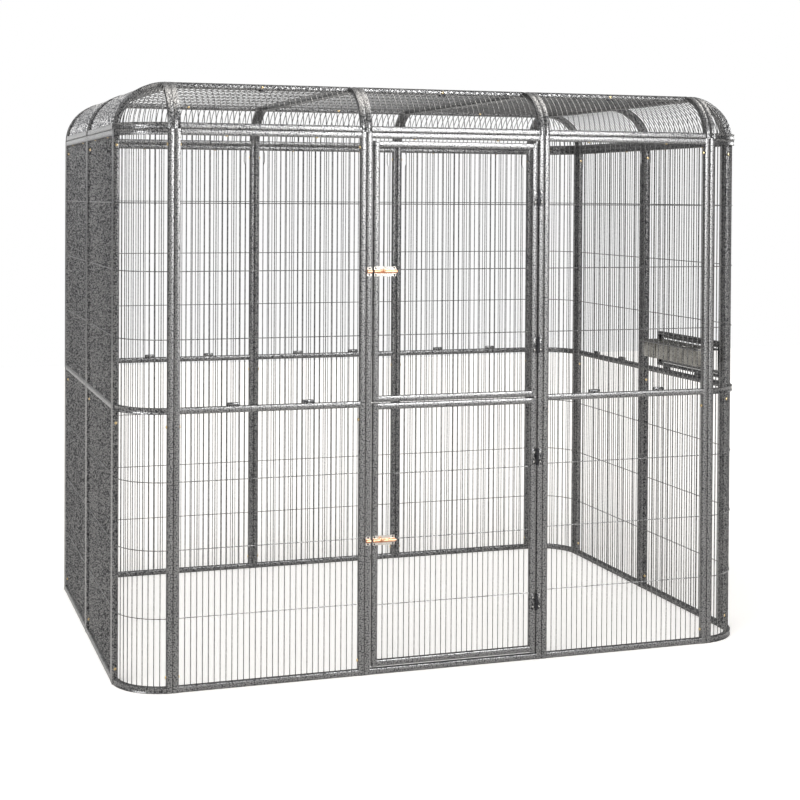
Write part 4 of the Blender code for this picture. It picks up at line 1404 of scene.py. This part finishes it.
# %% Cups
CUP_HALF_X = (CUP_PITCH - RACK_BAR) / 2 - 0.0008
CUP_HALF_Y = 0.039
CUP_DEEP = 0.066 - CUP_WALL
CUP_FLANGE = 0.003
CORNER_SOFT, FOOT_SOFT, HOLLOW_SOFT, FLANGE_SOFT = 0.012, 0.006, 0.005, 0.015


def feeder_cup():
    """A cup; its origin is the middle of the rim's underside."""
    bm = bmesh.new()
    walls = box_verts(
        bm, (-CUP_HALF_X, -CUP_HALF_Y, -CUP_DEEP), (CUP_HALF_X, CUP_HALF_Y, CUP_WALL / 2)
    )
    round_off(bm, edges_along(walls, 2), CORNER_SOFT, 6)
    bottom = [e for e in bm.edges if all(abs(v.co.z + CUP_DEEP) < 1e-6 for v in e.verts)]
    round_off(bm, bottom, FOOT_SOFT, 4)
    top = max(bm.faces, key=lambda face: face.calc_center_median().z)
    bmesh.ops.inset_region(bm, faces=[top], thickness=CUP_WALL, use_even_offset=True)
    top = max((f for f in bm.faces if f.normal.z > 0.9), key=lambda face: face.calc_area())
    pushed = bmesh.ops.extrude_face_region(bm, geom=[top])
    verts = [item for item in pushed["geom"] if isinstance(item, bmesh.types.BMVert)]
    bmesh.ops.translate(bm, verts=verts, vec=(0, 0, -CUP_DEEP + CUP_WALL))
    floor_rim = [e for e in bm.edges if all(v in verts for v in e.verts)]
    round_off(bm, floor_rim, HOLLOW_SOFT, 3)
    bmesh.ops.recalc_face_normals(bm, faces=bm.faces[:])
    absorb(bm, cup_rim())
    return as_mesh(bm, "feeder_cup")


def cup_rim():
    """The flat flange that hangs in the rack."""
    bm = bmesh.new()
    wide, deep = CUP_HALF_X + CUP_FLANGE, CUP_HALF_Y + CUP_FLANGE
    flat = box_verts(bm, (-wide, -deep, 0), (wide, deep, CUP_WALL))
    round_off(bm, edges_along(flat, 2), FLANGE_SOFT, 6)
    lids = [f for f in bm.faces if abs(f.normal.z) > 0.9]
    bmesh.ops.inset_individual(bm, faces=lids, thickness=0.0042, use_even_offset=True)
    lids = sorted(
        (f for f in bm.faces if abs(f.normal.z) > 0.9), key=lambda face: -face.calc_area()
    )[:2]
    loops = [edge for face in lids for edge in face.edges]
    bmesh.ops.delete(bm, geom=lids, context="FACES_ONLY")
    bmesh.ops.bridge_loops(bm, edges=loops)
    outer = [
        e for e in bm.edges
        if len(e.link_faces) == 2 and e.calc_face_angle(0) > 1.2
        and max(abs(e.verts[0].co.x) / wide, abs(e.verts[0].co.y) / deep) > 0.96
        and abs(e.verts[0].co.z - e.verts[1].co.z) < 1e-7
    ]
    round_off(bm, outer, 0.0006, 2)
    bmesh.ops.recalc_face_normals(bm, faces=bm.faces[:])
    return bm


cup = feeder_cup()
for k in range(CUPS):
    x = RACK_LEFT + (k + 0.5) * CUP_PITCH
    place = feeder_place(x, (CELL_START + CELL_END) / 2, CUP_RIM_TOP - CUP_WALL)
    show(f"feeder_cup_{k + 1}_steel", cup.copy(), cup_steel, place,
         f"feeder_cup_{k + 1}", [f"feeder_cup_{k + 1}"])
print("cup:", len(cup.polygons), "faces")

# %% [markdown]
# ### The turn button
# The feeder's door is held by a flat button that turns on a rivet beside it.

# %% Turn button
BUTTON_HALF = 0.0045
BUTTON_LENGTH = 0.034
BUTTON_THICK = 0.0025


def turn_button():
    bm = bmesh.new()
    half = BUTTON_HALF
    add_plate(
        bm, (-half, -BUTTON_THICK, half - BUTTON_LENGTH), (half, 0, half), 0.0040, 1, 6
    )
    rivet = turned([(0, 0.0010), (0.0035, 0.0010), (0.0035, 0.0032), (0.0024, 0.0040), (0, 0.0040)])
    turn_all(rivet, 90, "X")
    absorb(bm, rivet)
    return as_mesh(bm, "turn_button")


show("feeder_turn_button", turn_button(), steel,
     feeder_place(FEEDER_RIGHT + RING / 2, 0.0002 - SEAM, FEEDER_MIDDLE),
     "feeder_latch", ["feeder_latch"])
print("button at", round(FEEDER_MIDDLE, 4))
